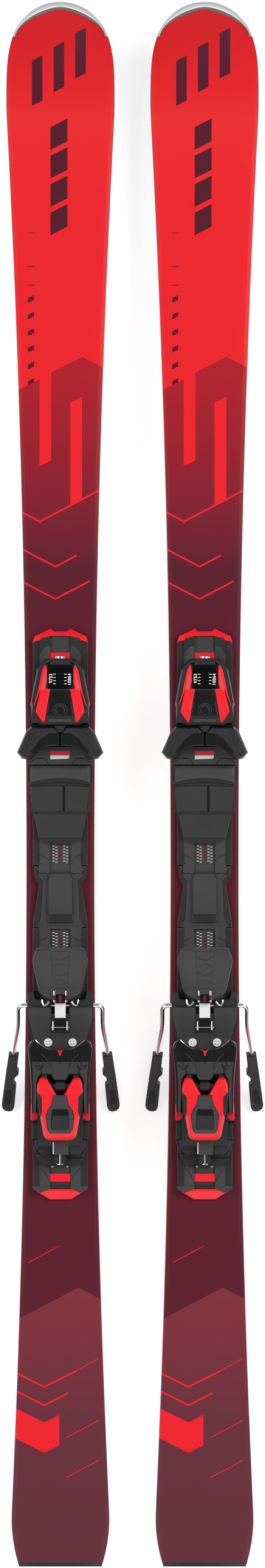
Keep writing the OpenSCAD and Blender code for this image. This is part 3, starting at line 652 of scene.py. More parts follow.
CHANNEL_Z, PANEL_Z = 5.7, 8.5
nose_fall = curve((154, 9), (154.4, 9), (163, 3))
heel_fall = curve((-419, 8), (-429, 3))
for s in SIDES:
    cast(s, "tracks", "ski", RAIL, 0.35)
    cast(s, "track_bridge", "ski", RAIL, 0.7)
    piece(s, "end_bumpers", "ski", RED, gather(
        draped(both([(6.7, 159.3), (10.3, 162.1), (26.3, 154.2)]), nose_fall, -3, 0, 0.5),
        mirror(slab([(9.6, 154.5), (26.3, 154.5), (28.8, 147.7), (20.6, 149.8), (19.7, 151.7)],
                    0.2, 9, 0.6, 0.6)),
        slab(both([(24.2, -419.2), (24.2, -415.9), (11, -417.5)]), 0.2, 8, 0.3, 0.3),
        draped(both([(24.2, -419), (24.2, -420.6), (11, -428.6)]), heel_fall, -3, 0, 0.5)),
        ("bumpers",), bevel=0.3)
    finish(s, "track_screws", SCREW_STEEL)
    marks = []
    for top, rows in ((-62.5, 6), (-152, 7)):
        for n in range(rows):
            for k, x in enumerate((-8.2, -5.1, 2.9, 6.0)):
                y = top - 3.1 * n - 1.1 * (k % 2)
                marks.append(box(x, x + 2.2, y - 0.75, y, CHANNEL_Z - 0.1, CHANNEL_Z + 0.06))
    piece(s, "sole_scale", "ski", WHITE, gather(*marks))
    piece(s, "scale_slot", "ski", MAROON, gather(
        box(-1.2, 1.2, -78, -56, CHANNEL_Z - 0.1, CHANNEL_Z + 0.1),
        box(-1.2, 1.2, -176, -157.4, CHANNEL_Z - 0.1, CHANNEL_Z + 0.1)))
    piece(s, "rail_inserts", "ski", RED, gather(
        box(-10.6, 10.6, 130.4, 137.2, CHANNEL_Z - 0.1, 8.0, 0.5),
        box(-10.6, 10.6, -410, -401.6, CHANNEL_Z - 0.1, 8.2, 0.5)))
    # The grooves are not cut: thin black strips on the plates are painted shade in them.
    grooves = [stripe([(12, -76.9), (22.8, -70.9)], 0.8, level(PANEL_Z)),
               stripe([(13, -157.5), (22.4, -161.4)], 0.8, level(PANEL_Z)),
               stripe([(22.2, -79), (22.2, -70.9)], 0.7, level(PANEL_Z - 0.2)),
               stripe([(21.9, 133), (21.9, 60)], 0.6, level(7.6)),
               stripe([(11.6, -410), (14.5, -402), (20.4, -396), (21.6, -386)], 0.7, level(PANEL_Z))]
    piece(s, "rail_grooves", "ski", BLACK, mirror(gather(*grooves)))
    # The rails' outer shoulders are flat bands in the darker plastic: painted shade for their sloped
    # sides.
    shoulders = gather(
        slab([(10.9, 153.4), (19.2, 150.8), (22, 149), (22, 134.5), (16.8, 141.9), (10.9, 144.4)],
             8.2, 8.6, 0.05, 0.05),
        slab([(22.3, 149.4), (28.2, 146.6), (28.2, -82), (22.3, -82)], 6.9, 7.3, 0.2, 0.2),
        slab([(22.3, -149), (28.2, -149), (28.2, -414.6), (22.3, -414.6)], 6.9, 7.3, 0.2, 0.2),
        slab([(26.6, -84.4), (26.6, -95), (21.9, -104.6), (27.4, -141), (27.4, -146.4),
              (24.4, -146.4), (20, -137), (18.4, -99), (21.8, -91)], 5.6, 6.5, 0.3, 0.3))
    piece(s, "rail_shoulders", "ski", DARK, mirror(shoulders))
    tips = gather(
        slab([(11.2, -414), (11.6, -417.8), (21.7, -421.6), (28.6, -417.6), (28.6, -414)],
             6.4, 8.8, 0.5, 0.5),
        slab([(21.8, -91), (17.2, -96.4), (18.4, -99.4), (22.8, -92.8)], 5.8, 7.0, 0.3, 0.3))
    piece(s, "rail_tips", "ski", RAIL, mirror(tips))
    joints = gather(mirror(box(10.7, 22.3, -90.6, -82.3, 5.8, PANEL_Z)),
                    box(-10.7, 10.7, -90.2, -82, 5.8, 6.4),
                    box(-22.2, 22.2, -148.6, -146.3, 5.6, 8.4))
    piece(s, "rail_joints", "ski", RAIL, joints)
    piece(s, "channel_covers", "ski", RAIL, gather(
        box(-10.4, 10.4, -82.2, 153, 5.2, CHANNEL_Z),
        box(-10.4, 10.4, -412.8, -148.4, 5.2, CHANNEL_Z)))
    piece(s, "rail_gaps", "ski", BLACK, gather(
        box(-10.6, 10.6, -416.6, -412.8, 5.2, 7.4),
        slab(both([(12.1, -134.2), (11.3, -141.8)]), 6, 9.0, 0.2, 0.2),
        slab(both([(10.2, -90.4), (13.2, -96.2), (13.2, -134.2)]), 6, 8.7, 0.1, 0.1)))
    piece(s, "bridge_cover", "ski", RAIL, slab(both(
        [(9.5, -91.3), (12.3, -96.8), (12.3, -133.6)]), 6, 9.3, 0.4, 0.4), bevel=0.15)

# ---------------------------------------------------------------------------------------------
# Toe piece. A moulded carriage runs on the front rail and holds the sprung housing, whose clear
# window shows the release setting over two red fairings; all are plastic, clipped and screwed.
# ---------------------------------------------------------------------------------------------
GLOSS_BLACK = flecked("gloss_black", (19, 19, 20), 0.25, scale=1300, fleck=0.2, depth=0.06,
                      specular=0.28)
DIAL_DARK = flecked("dial_dark", (12, 12, 13), 0.3, scale=1300, fleck=0.2)
SPRING_STEEL = flecked("spring_steel", (150, 152, 156), 0.3, metallic=1.0, scale=900)
GLASS, glass_tree, glass_in = surface("clear_window", 0.08, specular=0.3)
glass_in["Base Color"].default_value = (0.07, 0.07, 0.075, 1)
glass_in["IOR"].default_value = 1.08
glass_in["Transmission Weight"].default_value = 0.92
glass_noise = put(glass_tree, "ShaderNodeTexNoise", {
    "Vector": put(glass_tree, "ShaderNodeTexCoord").outputs["Object"], "Scale": 300.0})
glass_tree.links.new(math_node(glass_tree, "MULTIPLY_ADD", glass_noise.outputs[0], 0.05, 0.04),
                     glass_in["Roughness"])

roof = curve((131, 29), (127, 34.5), (99, 41), (85, 45.5), (66, 46.5), (62.3, 43))


def roofed(y0, y1, left, right, high):
    """A strip of the housing's roof between two edges, each given as (y, x) points."""
    return loft(y0, y1, curve(*left), curve(*right), lambda y: roof(y) - 5,
                lambda y: roof(y) + high, 0.7, 0, 36)


def words(text, size, x, y, z, quarter=1):
    """Dial numbers as flat shapes, centred at x, y and turned by quarter turns."""
    flat_text = bpy.data.curves.new("dial", "FONT")
    flat_text.body = text
    flat_text.size = size
    flat_text.align_x = "CENTER"
    flat_text.align_y = "CENTER"
    flat_text.space_character = 1.06
    flat_text.offset = 0.11
    flat_text.resolution_u = 3
    holder = bpy.data.objects.new("dial", flat_text)
    bpy.context.scene.collection.objects.link(holder)
    mesh = holder.to_mesh()
    co = np.zeros(len(mesh.vertices) * 3)
    mesh.vertices.foreach_get("co", co)
    co = co.reshape(-1, 3)
    faces = [list(p.vertices) for p in mesh.polygons]
    holder.to_mesh_clear()
    bpy.data.objects.remove(holder)
    bpy.data.curves.remove(flat_text)
    c, n = math.cos(quarter * math.pi / 2), math.sin(quarter * math.pi / 2)
    return np.column_stack([x + c * co[:, 0] - n * co[:, 1], y + n * co[:, 0] + c * co[:, 1],
                            np.full(len(co), float(z))]), faces


for s in SIDES:
    cast(s, "toe_carriage", "toe_piece", DARK, 0.6)
    cast(s, "toe_housing", "toe_piece", BLACK, 0.9)
    fairing = gather(
        roofed(99.2, 124.1, ((99.2, 15.4), (107, 13.7), (121, 13.7), (124.1, 15.3)),
               ((99.2, 21.1), (104, 21.6), (118.1, 18.8), (124.1, 15.8)), 1.5),
        roofed(64.4, 99.4, ((64.4, 17.2), (66.2, 15.9), (94.5, 11.2), (99.4, 10.1)),
               ((64.4, 17.8), (75.6, 25.4), (97, 20.6), (99.4, 21)), 1.5),
        roofed(81.9, 103.6, ((81.9, 26.9), (97, 21), (103.6, 20.6)),
               ((81.9, 27.5), (94.5, 23.5), (103.6, 21.7)), 1.5))
    piece(s, "red_fairings", "toe_piece", RED, mirror(fairing), ("toe_fairings",))
    # Lighter red facets laid over the fairings: painted highlight.
    facet = roofed(98.8, 120, ((98.8, 16), (107, 14.9), (120, 15.1)),
                   ((98.8, 20.4), (103, 19.6), (120, 15.5)), 1.62)
    piece(s, "fairing_facets", "toe_piece", LIT_RED, mirror(facet))
    piece(s, "front_cap", "toe_piece", BLACK, gather(
        mirror(slab([(9, 131), (9.4, 131), (14.4, 127.3), (16.4, 123.4), (12, 123.4)],
                    13, 37, 1.6, 4)),
        slab(both([(9.6, 130.8), (12.4, 123.5)]), 33.6, 37, 1.2, 1.6),
        box(-9.4, 9.4, 128.8, 130.9, 28.6, 35.6, 0.4),
        slab(both([(9, 129), (12.8, 126.6), (8.6, 127)]), 36, 37.4, 0.2, 0.2)), bevel=0.5)
    flank = [(17.4, 127), (24.3, 119.7), (30.9, 83.5), (29.9, 80.3), (29.6, 63), (21.5, 63),
             (22.8, 84), (18, 117)]
    piece(s, "flanks", "toe_piece", DARK,
          mirror(slab(flank, 12, 26, 2.4, 9)), bevel=0.4)
    piece(s, "roof_panel", "toe_piece", GLOSS_BLACK, roofed(
        72, 97.6, ((72, -13.6), (97.6, -9.6)), ((72, 13.6), (97.6, 9.6)), 0.6))
    ring_z = float(roof(77.2))
    piece(s, "screw_well", "toe_piece", BLACK, turned(
        0, 77.2, [7.8, 7.3, 6.4, 5.4, 4.8, 4.8, 4.2, 3.4, 0.1],
        ring_z + np.array([0.4, 1.0, 1.0, -0.6, -0.6, 0.9, 1.1, 0.2, 0.0])))
    piece(s, "rear_bar", "toe_piece", DARK, gather(
        roofed(63.2, 70.6, ((63.2, -18.6), (70.6, -16.6)), ((63.2, 18.6), (70.6, 16.6)), 0.8),
        slab(both([(6.2, 61.6), (2.8, 54.6)]), 30, 43.5, 0.8, 0.8),
        turned(0, 58.6, [3.2, 3.2, 2.6, 0.1], [40, 43.9, 44.4, 44.4])), bevel=0.3)
    piece(s, "rear_bar_top", "toe_piece", RAIL, roofed(
        65, 68.2, ((65, -12), (68.2, -11.6)), ((65, 12), (68.2, 11.6)), 1.3))
    glass = loft(99.5, 124.5, level(-13), level(13), lambda y: roof(y) - 0.9,
                 lambda y: roof(y) + 0.1, 0.4, 0.9, 24)
    piece(s, "dial_window", "toe_piece", GLASS, glass, ("toe_window",))
    dial = loft(99.8, 124.2, level(3.6), level(12.6), lambda y: roof(y) - 3.4,
                lambda y: roof(y) - 1.9, 0.3, 0, 12)
    piece(s, "dial_plates", "toe_piece", DIAL_DARK, mirror(dial))
    text = [words(body, 4.7, x, y, 0) for body, x, y in (
        ("9753", -9.6, 110.2), ("10864", 9.8, 109.0))]
    ticks = [box(x, x + 2.6, y - 0.35, y + 0.35, 0, 0.02) for x in (-7.2, 4.2)
             for y in (104.6, 107.9, 111.2, 114.5)]
    dial_marks = gather(*text, *ticks)
    crown = 0.9 * (1 - (dial_marks[0][:, 0] / 12.6) ** 2)
    dial_marks[0][:, 2] += roof(dial_marks[0][:, 1]) + 0.16 + crown
    piece(s, "dial_numbers", "toe_piece", WHITE, dial_marks)
    finish(s, "toe_spring", SPRING_STEEL)
    finish(s, "toe_screw", SCREW_STEEL)
    finish(s, "toe_nut", DIAL_DARK)
    piece(s, "indicator_mark", "toe_indicator", WHITE,
          box(-2.4, 2.4, 115.0, 116.2, 31.5, 32.6))
    panels = gather(
        slab([(-30.4, -1), (2.6, -0.4), (2.6, -27.4), (-28.6, -27.8), (-29.2, -24), (-30.2, -22),
              (-29.6, -19), (-30.8, -16), (-30.2, -12), (-31.2, -9)], 12.9, 14.4, 0.7, 0.7),
        slab([(4.9, -0.4), (29.8, -1.6), (29.2, -14), (27.8, -27.6), (4.9, -27.4)],
             12.9, 14.0, 0.6, 0.6),
        slab(both([(27.6, -29.4), (22.2, -54.8)]), 12.9, 14.2, 0.7, 0.7))
    piece(s, "carriage_panels", "toe_piece", MID, panels, bevel=0.25)
    piece(s, "carriage_slot", "toe_piece", GLOSS_BLACK,
          box(2.5, 5, -27.4, -0.4, 12.8, 13.3))

# ---------------------------------------------------------------------------------------------
# Wings. Two glass-filled plastic jaws grip the boot's toe; each turns on an upright pin and is
# let go sideways by the spring.
# ---------------------------------------------------------------------------------------------
WING = [(0.4, 54.2), (5.9, 60.5), (13.1, 60.5), (20, 60.2), (30, 60.9), (35, 56.1), (44.7, 33.8),
        (39.4, 27.5), (33.8, 26), (26.9, 29.6), (22.2, 34.7), (17.8, 38.4), (10.9, 40.3),
        (0.4, 40.9)]
BAND = [(0.6, 41.6), (0.6, 54), (11.3, 53.6), (21.2, 47.4), (25.4, 41.4), (29.8, 36.4),
        (31.4, 30.4), (27.8, 31.4), (22.8, 35.8), (18, 39.2), (10.9, 41)]
LOBE = [(24.4, 57.4), (30, 59), (34.4, 54.6), (43.2, 34.2), (39.4, 29.8), (37.2, 30.2)]


def handed(shape, way):
    """The shape as drawn where way is 1, its mirror image across the ski where it is -1."""
    verts, faces = shape
    return outward(verts * [way, 1, 1], faces)


for s in SIDES:
    for node, way, body in (("wing_outer", 1, "wing_out"), ("wing_inner", -1, "wing_in")):
        jaw = gather(slab(WING, 26, 42.6, 1.8, 4.2),
                     turned(26, 54, [7, 7, 6.6], [20.3, 26, 26.4]),
                     slab(LOBE, 41, 43.6, 1.4, 1))
        piece(s, node + "_jaw", body, BLACK, handed(jaw, way), (node,), bevel=0.5)
        piece(s, node + "_lip", body, GLOSS_BLACK,
              handed(slab(BAND, 41, 43.1, 0.8, 0.8), way), bevel=0.3)

# ---------------------------------------------------------------------------------------------
# Gliding plate. The boot's toe rests on a raised roll of slick plastic that slides across the
# carriage, with a flat pad in front of it.
# ---------------------------------------------------------------------------------------------
ROLL_HALF = 31.4


def glide_roll():
    """Rings along X of a low roll: front edge straight, rear edge arched, both ends rounded."""
    x = np.linspace(-ROLL_HALF, ROLL_HALF, 60)[:, None]
    q = np.linspace(0, math.pi, 18)[None, :]
    rear = 1.5 + 4.8 * (1 - (x / ROLL_HALF) ** 2)
    front = 20.6 - 0 * x
    end = np.clip(1 - (np.abs(x) / ROLL_HALF) ** 30, 0, 1)
    y = (front + rear) / 2 + (front - rear) / 2 * np.cos(q)
    z = 13.2 + (4.6 + 2.0 * end) * np.abs(np.sin(q)) ** 0.45
    foot = np.stack([np.concatenate([rear, front], 1), np.full((60, 2), 13.1)], 2)
    ring = np.concatenate([np.stack([y + 0 * z, z], 2), foot], 1)
    return loops(np.concatenate([np.broadcast_to(x[:, :, None], (60, 20, 1)), ring], 2))


for s in SIDES:
    piece(s, "glide_roll", "gliding_plate", RAIL, glide_roll(), ("afd_pad",))
    piece(s, "glide_frame", "gliding_plate", BLACK, gather(
        slab(both([(33.4, 20.9), (34.7, 19.6), (34.7, 5.6), (31, 0.2), (15, 2.4), (0.2, 3.1)]),
             12.9, 15.6, 0.8, 0.8), box(-22, 22, 8.1, 13.9, 10.5, 14)), bevel=0.2)
    pad = slab(both([(24.5, 40.5), (26.4, 30), (31.4, 25.6), (34.2, 21.4)]), 13.1, 18.8, 0.8, 0.8)
    piece(s, "boot_pad", "gliding_plate", RAIL, pad, bevel=0.25)
    seams = mirror(stripe([(32, 22.6), (26.7, 27.3), (15.8, 27.5), (12.3, 22)], 0.6, level(18.8)))
    piece(s, "pad_seams", "gliding_plate", GLOSS_BLACK, seams)
    piece(s, "pad_red_bar", "gliding_plate", RED,
          slab([(-10.3, 31.8), (9.6, 31.8), (10, 35.2), (-9.9, 35.2)], 18.7, 18.92))
    piece(s, "pad_white_bar", "gliding_plate", WHITE,
          slab([(-10.3, 26.8), (8.9, 27.4), (9.5, 31), (-10.3, 31)], 18.7, 18.92))

# ---------------------------------------------------------------------------------------------
# Brake base and pedal. The base is moulded and screwed under the heel piece. The boot presses the
# pedal down, and a steel clip and bent wire links tie the pedal to the brake's arms.
# ---------------------------------------------------------------------------------------------
CHROME = flecked("chrome", (222, 223, 226), 0.12, metallic=1.0, scale=500, fleck=0.06, depth=0.03)
# Near-white and not metallic: the plating's bright reflection painted in as colour.
ZINC_SHEEN = flecked("zinc_painted_sheen", (246, 246, 246), 0.4, scale=900, fleck=0.05)
pedal_top = curve((-166, 47), (-181, 43), (-212, 26.5), (-222.5, 24))
pedal_foot = curve((-166, 41.5), (-181, 37.5), (-212, 22), (-222.5, 21.5))
pedal_half = curve((-166.9, 20), (-168.6, 24.9), (-181.4, 28.9), (-213.6, 22), (-218, 17.5),
                   (-222, 8.6))


def rounded_path(corners, radius, steps=9):
    """The corners joined by straights, each corner cut by a quadratic curve radius before it."""
    p = np.asarray(corners, float)
    out = [p[:1]]
    t = np.linspace(0, 1, steps)[:, None]
    for before, corner, after in zip(p[:-2], p[1:-1], p[2:]):
        a = corner + (before - corner) * min(radius / np.linalg.norm(before - corner), 0.5)
        b = corner + (after - corner) * min(radius / np.linalg.norm(after - corner), 0.5)
        out.append((1 - t) ** 2 * a + 2 * t * (1 - t) * corner + t ** 2 * b)
    return np.concatenate(out + [p[-1:]])


def wire(path, radius, sides=16, up=(0.3, 0.2, 0.93)):
    """A round wire: a circle carried along the path, square to its tangent."""
    p = np.asarray(path, float)
    way = np.gradient(p, axis=0)
    way /= np.linalg.norm(way, axis=1)[:, None]
    a = np.cross(way, np.asarray(up, float))
    a /= np.linalg.norm(a, axis=1)[:, None]
    b = np.cross(way, a)
    q = np.linspace(0, 2 * math.pi, sides, endpoint=False)
    ring = np.cos(q)[None, :, None] * a[:, None, :] + np.sin(q)[None, :, None] * b[:, None, :]
    return loops(p[:, None, :] + radius * ring)


for s in SIDES:
    cast(s, "brake_base", "heel_piece", DARK, 0.9)
    piece(s, "base_wedges", "heel_piece", BLACK, mirror(
        slab([(19.5, -222.6), (25.8, -221.4), (27.4, -213.4), (33.6, -216.4), (34.4, -226),
              (24, -229), (17, -226.5)], 17.6, 19.2, 0.8, 0.8)), bevel=0.3)
    deck = curve((-223, 18.2), (-238, 18.2), (-262, 14.2), (-276, 14.2))
    side_half = curve((-229, 33.4), (-240.7, 33.6), (-252, 30.2), (-261, 28), (-273, 27.4))
    piece(s, "base_cover", "heel_piece", RAIL, gather(
        loft(-273.5, -230, wide(side_half), level(-9.8), level(12), deck),
        loft(-273.5, -230, level(9.8), side_half, level(12), deck),
        loft(-273.5, -256.4, level(-10), level(10), level(12), deck)))
    # Screw heads in the near-white plating colour: painted reflection.
    heads = [turned(x, -265.9, [4.3, 4.3, 3.8, 0.1], [13, 15.6, 16.0, 16.0]) for x in (-12.6, 12.6)]
    piece(s, "cover_screws", "heel_piece", ZINC_SHEEN, gather(*heads))
    dots = [turned(x + 2 * math.cos(q), -265.9 + 2 * math.sin(q), [0.45, 0.45], [15.9, 16.05], 10)
            for x in (-12.6, 12.6) for q in (0.8, 2.37, 3.94, 5.51)]
    piece(s, "screw_sockets", "heel_piece", BLACK, gather(*dots))

    pedal = loft(-222.4, -167.2, wide(pedal_half), pedal_half, pedal_foot, pedal_top, 1.6, 0, 70)
    piece(s, "pedal_plate", "brake_pedal", RAIL, gather(
        pedal, box(2, 10.4, -219.4, -214, 15.5, 23), box(-10.4, -2, -219.4, -214, 15.5, 23)),
        ("brake_pedal",))
    # The pedal's grip grooves are thin black strips on its top: painted shade in the grooves.
    strip = curve((-171, 9.6), (-221, 6.6))
    lines = [stripe([(-strip(y), y) for y in np.linspace(-171, -206, 12)], 0.55, pedal_top),
             stripe([(strip(y), y) for y in np.linspace(-171, -206, 12)], 0.55, pedal_top)]
    for y, way in ((-180, 1), (-184.5, -1), (-196, 1), (-201, -1)):
        w = float(strip(y)) - 0.4
        lines.append(stripe([(-w, y + 3.2 * way), (-w / 2, y + 1.2 * way), (0, y - 0.8 * way),
                             (w / 2, y + 1.2 * way), (w, y + 3.2 * way)], 0.6, pedal_top))
    lines.append(stripe([(-25.5, -170.5), (-13, -168.8), (-10.4, -171.4), (0, -171.5),
                         (10.4, -171.4), (13, -168.8), (25.5, -170.5)], 0.6, pedal_top))
    piece(s, "pedal_grooves", "brake_pedal", BLACK, gather(*lines))

    piece(s, "pedal_clip", "brake_pedal", RAIL, gather(
        slab(both([(5.1, -210.4), (5.1, -216)]), 24.5, 28.4, 0.3, 0.3)))
    piece(s, "clip_pocket", "heel_piece", GLOSS_BLACK, gather(
        box(-9.6, 9.6, -256.2, -241, 10, 13.4), box(-4.6, 4.6, -247.5, -241.5, 13, 19.4, 0.4)))
    piece(s, "clip_block", "brake_pedal", GLOSS_BLACK, gather(
        box(-4.7, 4.7, -224.8, -216.4, 19, 26.4, 0.4)))
    # The clip plate in the same near-white: painted reflection.
    piece(s, "clip_plate", "heel_piece", ZINC_SHEEN,
          box(-5.6, 5.6, -240.4, -225.2, 16.6, 19.6, 0.3))
    lugs = [box(x, x + 2.5, -224.6, -211.6, 22, 28.8, 0.6) for x in (-7.3, 4.8)]
    piece(s, "clip_lugs", "brake_pedal", CHROME, gather(*lugs), bevel=0.3)
    hooks = [box(x, x + 2.2, -253.8, -243.4, 14, 19.4, 0.6) for x in (-8.4, 6.2)]
    rod = wire([(-9.6, -250.4, 17.6), (-4, -250.4, 17.6), (4, -250.4, 17.6), (9.6, -250.4, 17.6)],
               1.15)
    piece(s, "link_hooks", "heel_piece", CHROME, gather(rod, *hooks), bevel=0.25)
    reds = [box(x, x + 2.2, -222, -217, 27, 29.2, 0.4) for x in (-7.2, 4.9)]
    piece(s, "clip_reds", "brake_pedal", MAROON, gather(
        *reds, box(-1.4, 1.4, -224, -217, 26, 26.7)))
    slivers = [wire(rounded_path([(11.6, -223.6, 20.4), (14, -227, 20.8), (16.8, -228, 20.6),
                                  (18.6, -224.4, 20.2), (18.8, -221.6, 20)], 3), 1.2)]
    piece(s, "base_clips", "heel_piece", CHROME, mirror(gather(*slivers)))

# ---------------------------------------------------------------------------------------------
# Brake arms and claws. One bent steel wire turns in the base and drops an arm beside each edge
# of the ski, with a moulded plastic claw on its end that digs into the snow.
# ---------------------------------------------------------------------------------------------
# The brake's pivot, the straights of one arm from there to the claw, and how far each turns out.
BRAKE_Y, BRAKE_Z = -227.4, 13.0
ARM_X = 44
UPPER_ARM, LOWER_ARM, CLAW_SHANK = 26, 29.5, 30
LOWER_YAW, CLAW_YAW = math.radians(9.5), math.radians(6.8)
ARM_REACH, CLAW_HALF = 129, 4.5
ARM_DROP = math.asin((DECK + BRAKE_Z - CLAW_HALF) / ARM_REACH)


def reach_out(length, yaw):
    """A step along the brake arm: length, turned out by yaw and dropped by the arm's pitch."""
    return length * np.array([math.sin(yaw) * math.cos(ARM_DROP),
                              -math.cos(yaw) * math.cos(ARM_DROP), -math.sin(ARM_DROP)])


def claw_place(shape):
    """Carries a shape drawn along the claw's own axis to the end of the right-hand arm."""
    verts, faces = shape
    turn = np.array(Matrix.Rotation(CLAW_YAW, 3, "Z") @ Matrix.Rotation(ARM_DROP, 3, "X"))
    return outward(np.asarray(verts) @ turn.T + claw_top, faces)


kink = np.array([ARM_X, BRAKE_Y, BRAKE_Z]) + reach_out(UPPER_ARM, 0)
claw_top = kink + reach_out(LOWER_ARM, LOWER_YAW)
arm = rounded_path([(0, BRAKE_Y, BRAKE_Z), (ARM_X, BRAKE_Y, BRAKE_Z), kink, claw_top,
                    claw_top + reach_out(CLAW_SHANK, CLAW_YAW)], 7)
for s in SIDES:
    piece(s, "brake_wire", "brake", CHROME, mirror(wire(arm, 2.4)),
          ("brake_arms",), sharp=60)
    claw = slab([(-5.4, -6), (5, -6.6), (5.8, -34), (6.4, -70), (5.2, -75), (2, -77.6),
                 (-2.6, -77.8), (-5.8, -76), (-7, -71), (-6.4, -45.4), (-5.6, -43.6),
                 (-4, -42.6), (-3.8, -37), (-4.6, -33.6), (-7.4, -30), (-7.4, -27), (-5.4, -24.6)],
                -4.4, 4.4, 0.9, 0.9)
    piece(s, "claw_body", "brake", BLACK, mirror(claw_place(claw)),
          ("brake_claws",), bevel=0.5)
    # The recess is not cut: a glossy black patch, darker than the claw, is painted shade of the
    # hollow.
    recess = slab([(-3, -68), (3.4, -68), (4, -66), (3.2, -50.6), (2.4, -49.4), (-2, -49.4),
                   (-2.8, -50.6), (-3.6, -66)], 4, 4.5, 0.3, 0.3)
    piece(s, "claw_recess", "brake", GLOSS_BLACK, mirror(claw_place(recess)))
    ridge = gather(box(-6.8, 6.2, -71.6, -70.8, 4.2, 4.6), box(4.5, 4.9, -70, -46, 4.2, 4.55),
                   box(-5, -4.6, -70, -46, 4.2, 4.55), box(-5, 4.9, -46.4, -46, 4.2, 4.55))
    piece(s, "claw_ridges", "brake", MID, mirror(claw_place(ridge)))

# ---------------------------------------------------------------------------------------------
# Heel carriage. A moulded block slides on the rear rail and carries the spring tower, with a red
# band across it and covers over the forward-pressure screw behind.
# ---------------------------------------------------------------------------------------------
for s in SIDES:
    cast(s, "heel_carriage", "heel_piece", BLACK, 0.7)
    finish(s, "heel_spring", SPRING_STEEL)
    finish(s, "heel_screw", CHROME)
    band = slab([(20.2, -329.5), (30.4, -329), (30.6, -345), (29.4, -347), (20.2, -343.8)],
                12.5, 25.4, 0.8, 0.8)
    piece(s, "carriage_band", "heel_piece", RED, mirror(band), bevel=0.3)
    rear_half = curve((-348, 29.6), (-368, 29.6), (-386, 24.6), (-390.4, 20), (-393, 13))
    covers = gather(
        loft(-366, -349, wide(rear_half), rear_half, level(12.6), level(15.6), 0.8, 0, 6),
        loft(-380, -367.2, wide(rear_half), level(-8.6), level(12.6), level(15.2), 0.6, 0, 12),
        loft(-384, -367.2, level(7.6), lambda y: rear_half(y) - 0.6, level(12.6), level(16.4), 0.8,
             0, 12),
        loft(-392, -381.2, wide(rear_half), level(-5.4), level(12.6), level(14.2), 0.5, 0, 10),
        loft(-392, -385.4, level(5.4), rear_half, level(12.6), level(14.2), 0.5, 0, 10))
    piece(s, "carriage_covers", "heel_piece", DARK, covers)
    piece(s, "hood_plate", "heel_piece", RAIL, loft(
        -381.4, -366.6, level(-6.2), level(8.4), level(30.6), level(32.6), 0.5, 0, 6))
    hood = gather(
        box(-6, -1.7, -391, -381, 25.6, 26.8, 0.2), box(1.7, 6, -391, -381, 25.6, 26.8, 0.2),
        loft(-381.4, -366.6, level(8.4), curve((-366.6, 26), (-374, 25.6), (-381.4, 19)),
             level(24), level(29.4), 1.2, 0, 8),
        loft(-381.4, -366.6, curve((-366.6, -26), (-374, -25.6), (-381.4, -19)), level(-8.2),
             level(18), level(22.4), 1.2, 0, 8),
        box(-8.2, -6.2, -381.4, -366.6, 18, 31.6), box(8.4, 9.4, -381.4, -366.6, 14, 31))
    piece(s, "carriage_hood", "heel_piece", DARK, hood)
    pale = box(-7.7, -6.6, -380.6, -368, 31.4, 31.9)
    piece(s, "carriage_edge_line", "heel_piece", WHITE, pale)
    pins = [turned(x, -394, [1.3, 1.3, 0.9, 0.1], [12, 13.6, 14, 14], 16) for x in (-8, 7.4)]
    piece(s, "carriage_pins", "heel_piece", SCREW_STEEL, gather(*pins))

# ---------------------------------------------------------------------------------------------
# Heel cup. A moulded jaw turns on an axle in the carriage and holds the boot's heel down from
# above; the boot steps on the treadle inside it and closes it.
# ---------------------------------------------------------------------------------------------
cup_half = curve((-262, 24.5), (-263.5, 29.6), (-266, 32), (-271, 33.2), (-290, 31.2),
                 (-310, 30), (-340, 29.6))
cup_top = curve((-262, 58.5), (-268, 64.6), (-285, 62.6), (-305, 51.5), (-340, 33))
cup_foot = curve((-262, 43), (-280, 31), (-300, 22), (-318, 20.5), (-340, 24.6))
cup_inner = curve((-262, 23.5), (-270, 21), (-283, 17.5), (-296, 17.5), (-304, 21.5), (-340, 23.6))
MOUTH_R, MOUTH_Y = 33.3, -240.7


def mouth(y):
    """Half width at y of the cup's round mouth, sqrt(R^2 - (y - centre)^2), 0 behind it."""
    return np.sqrt(np.maximum(MOUTH_R ** 2 - (y - MOUTH_Y) ** 2, 0))


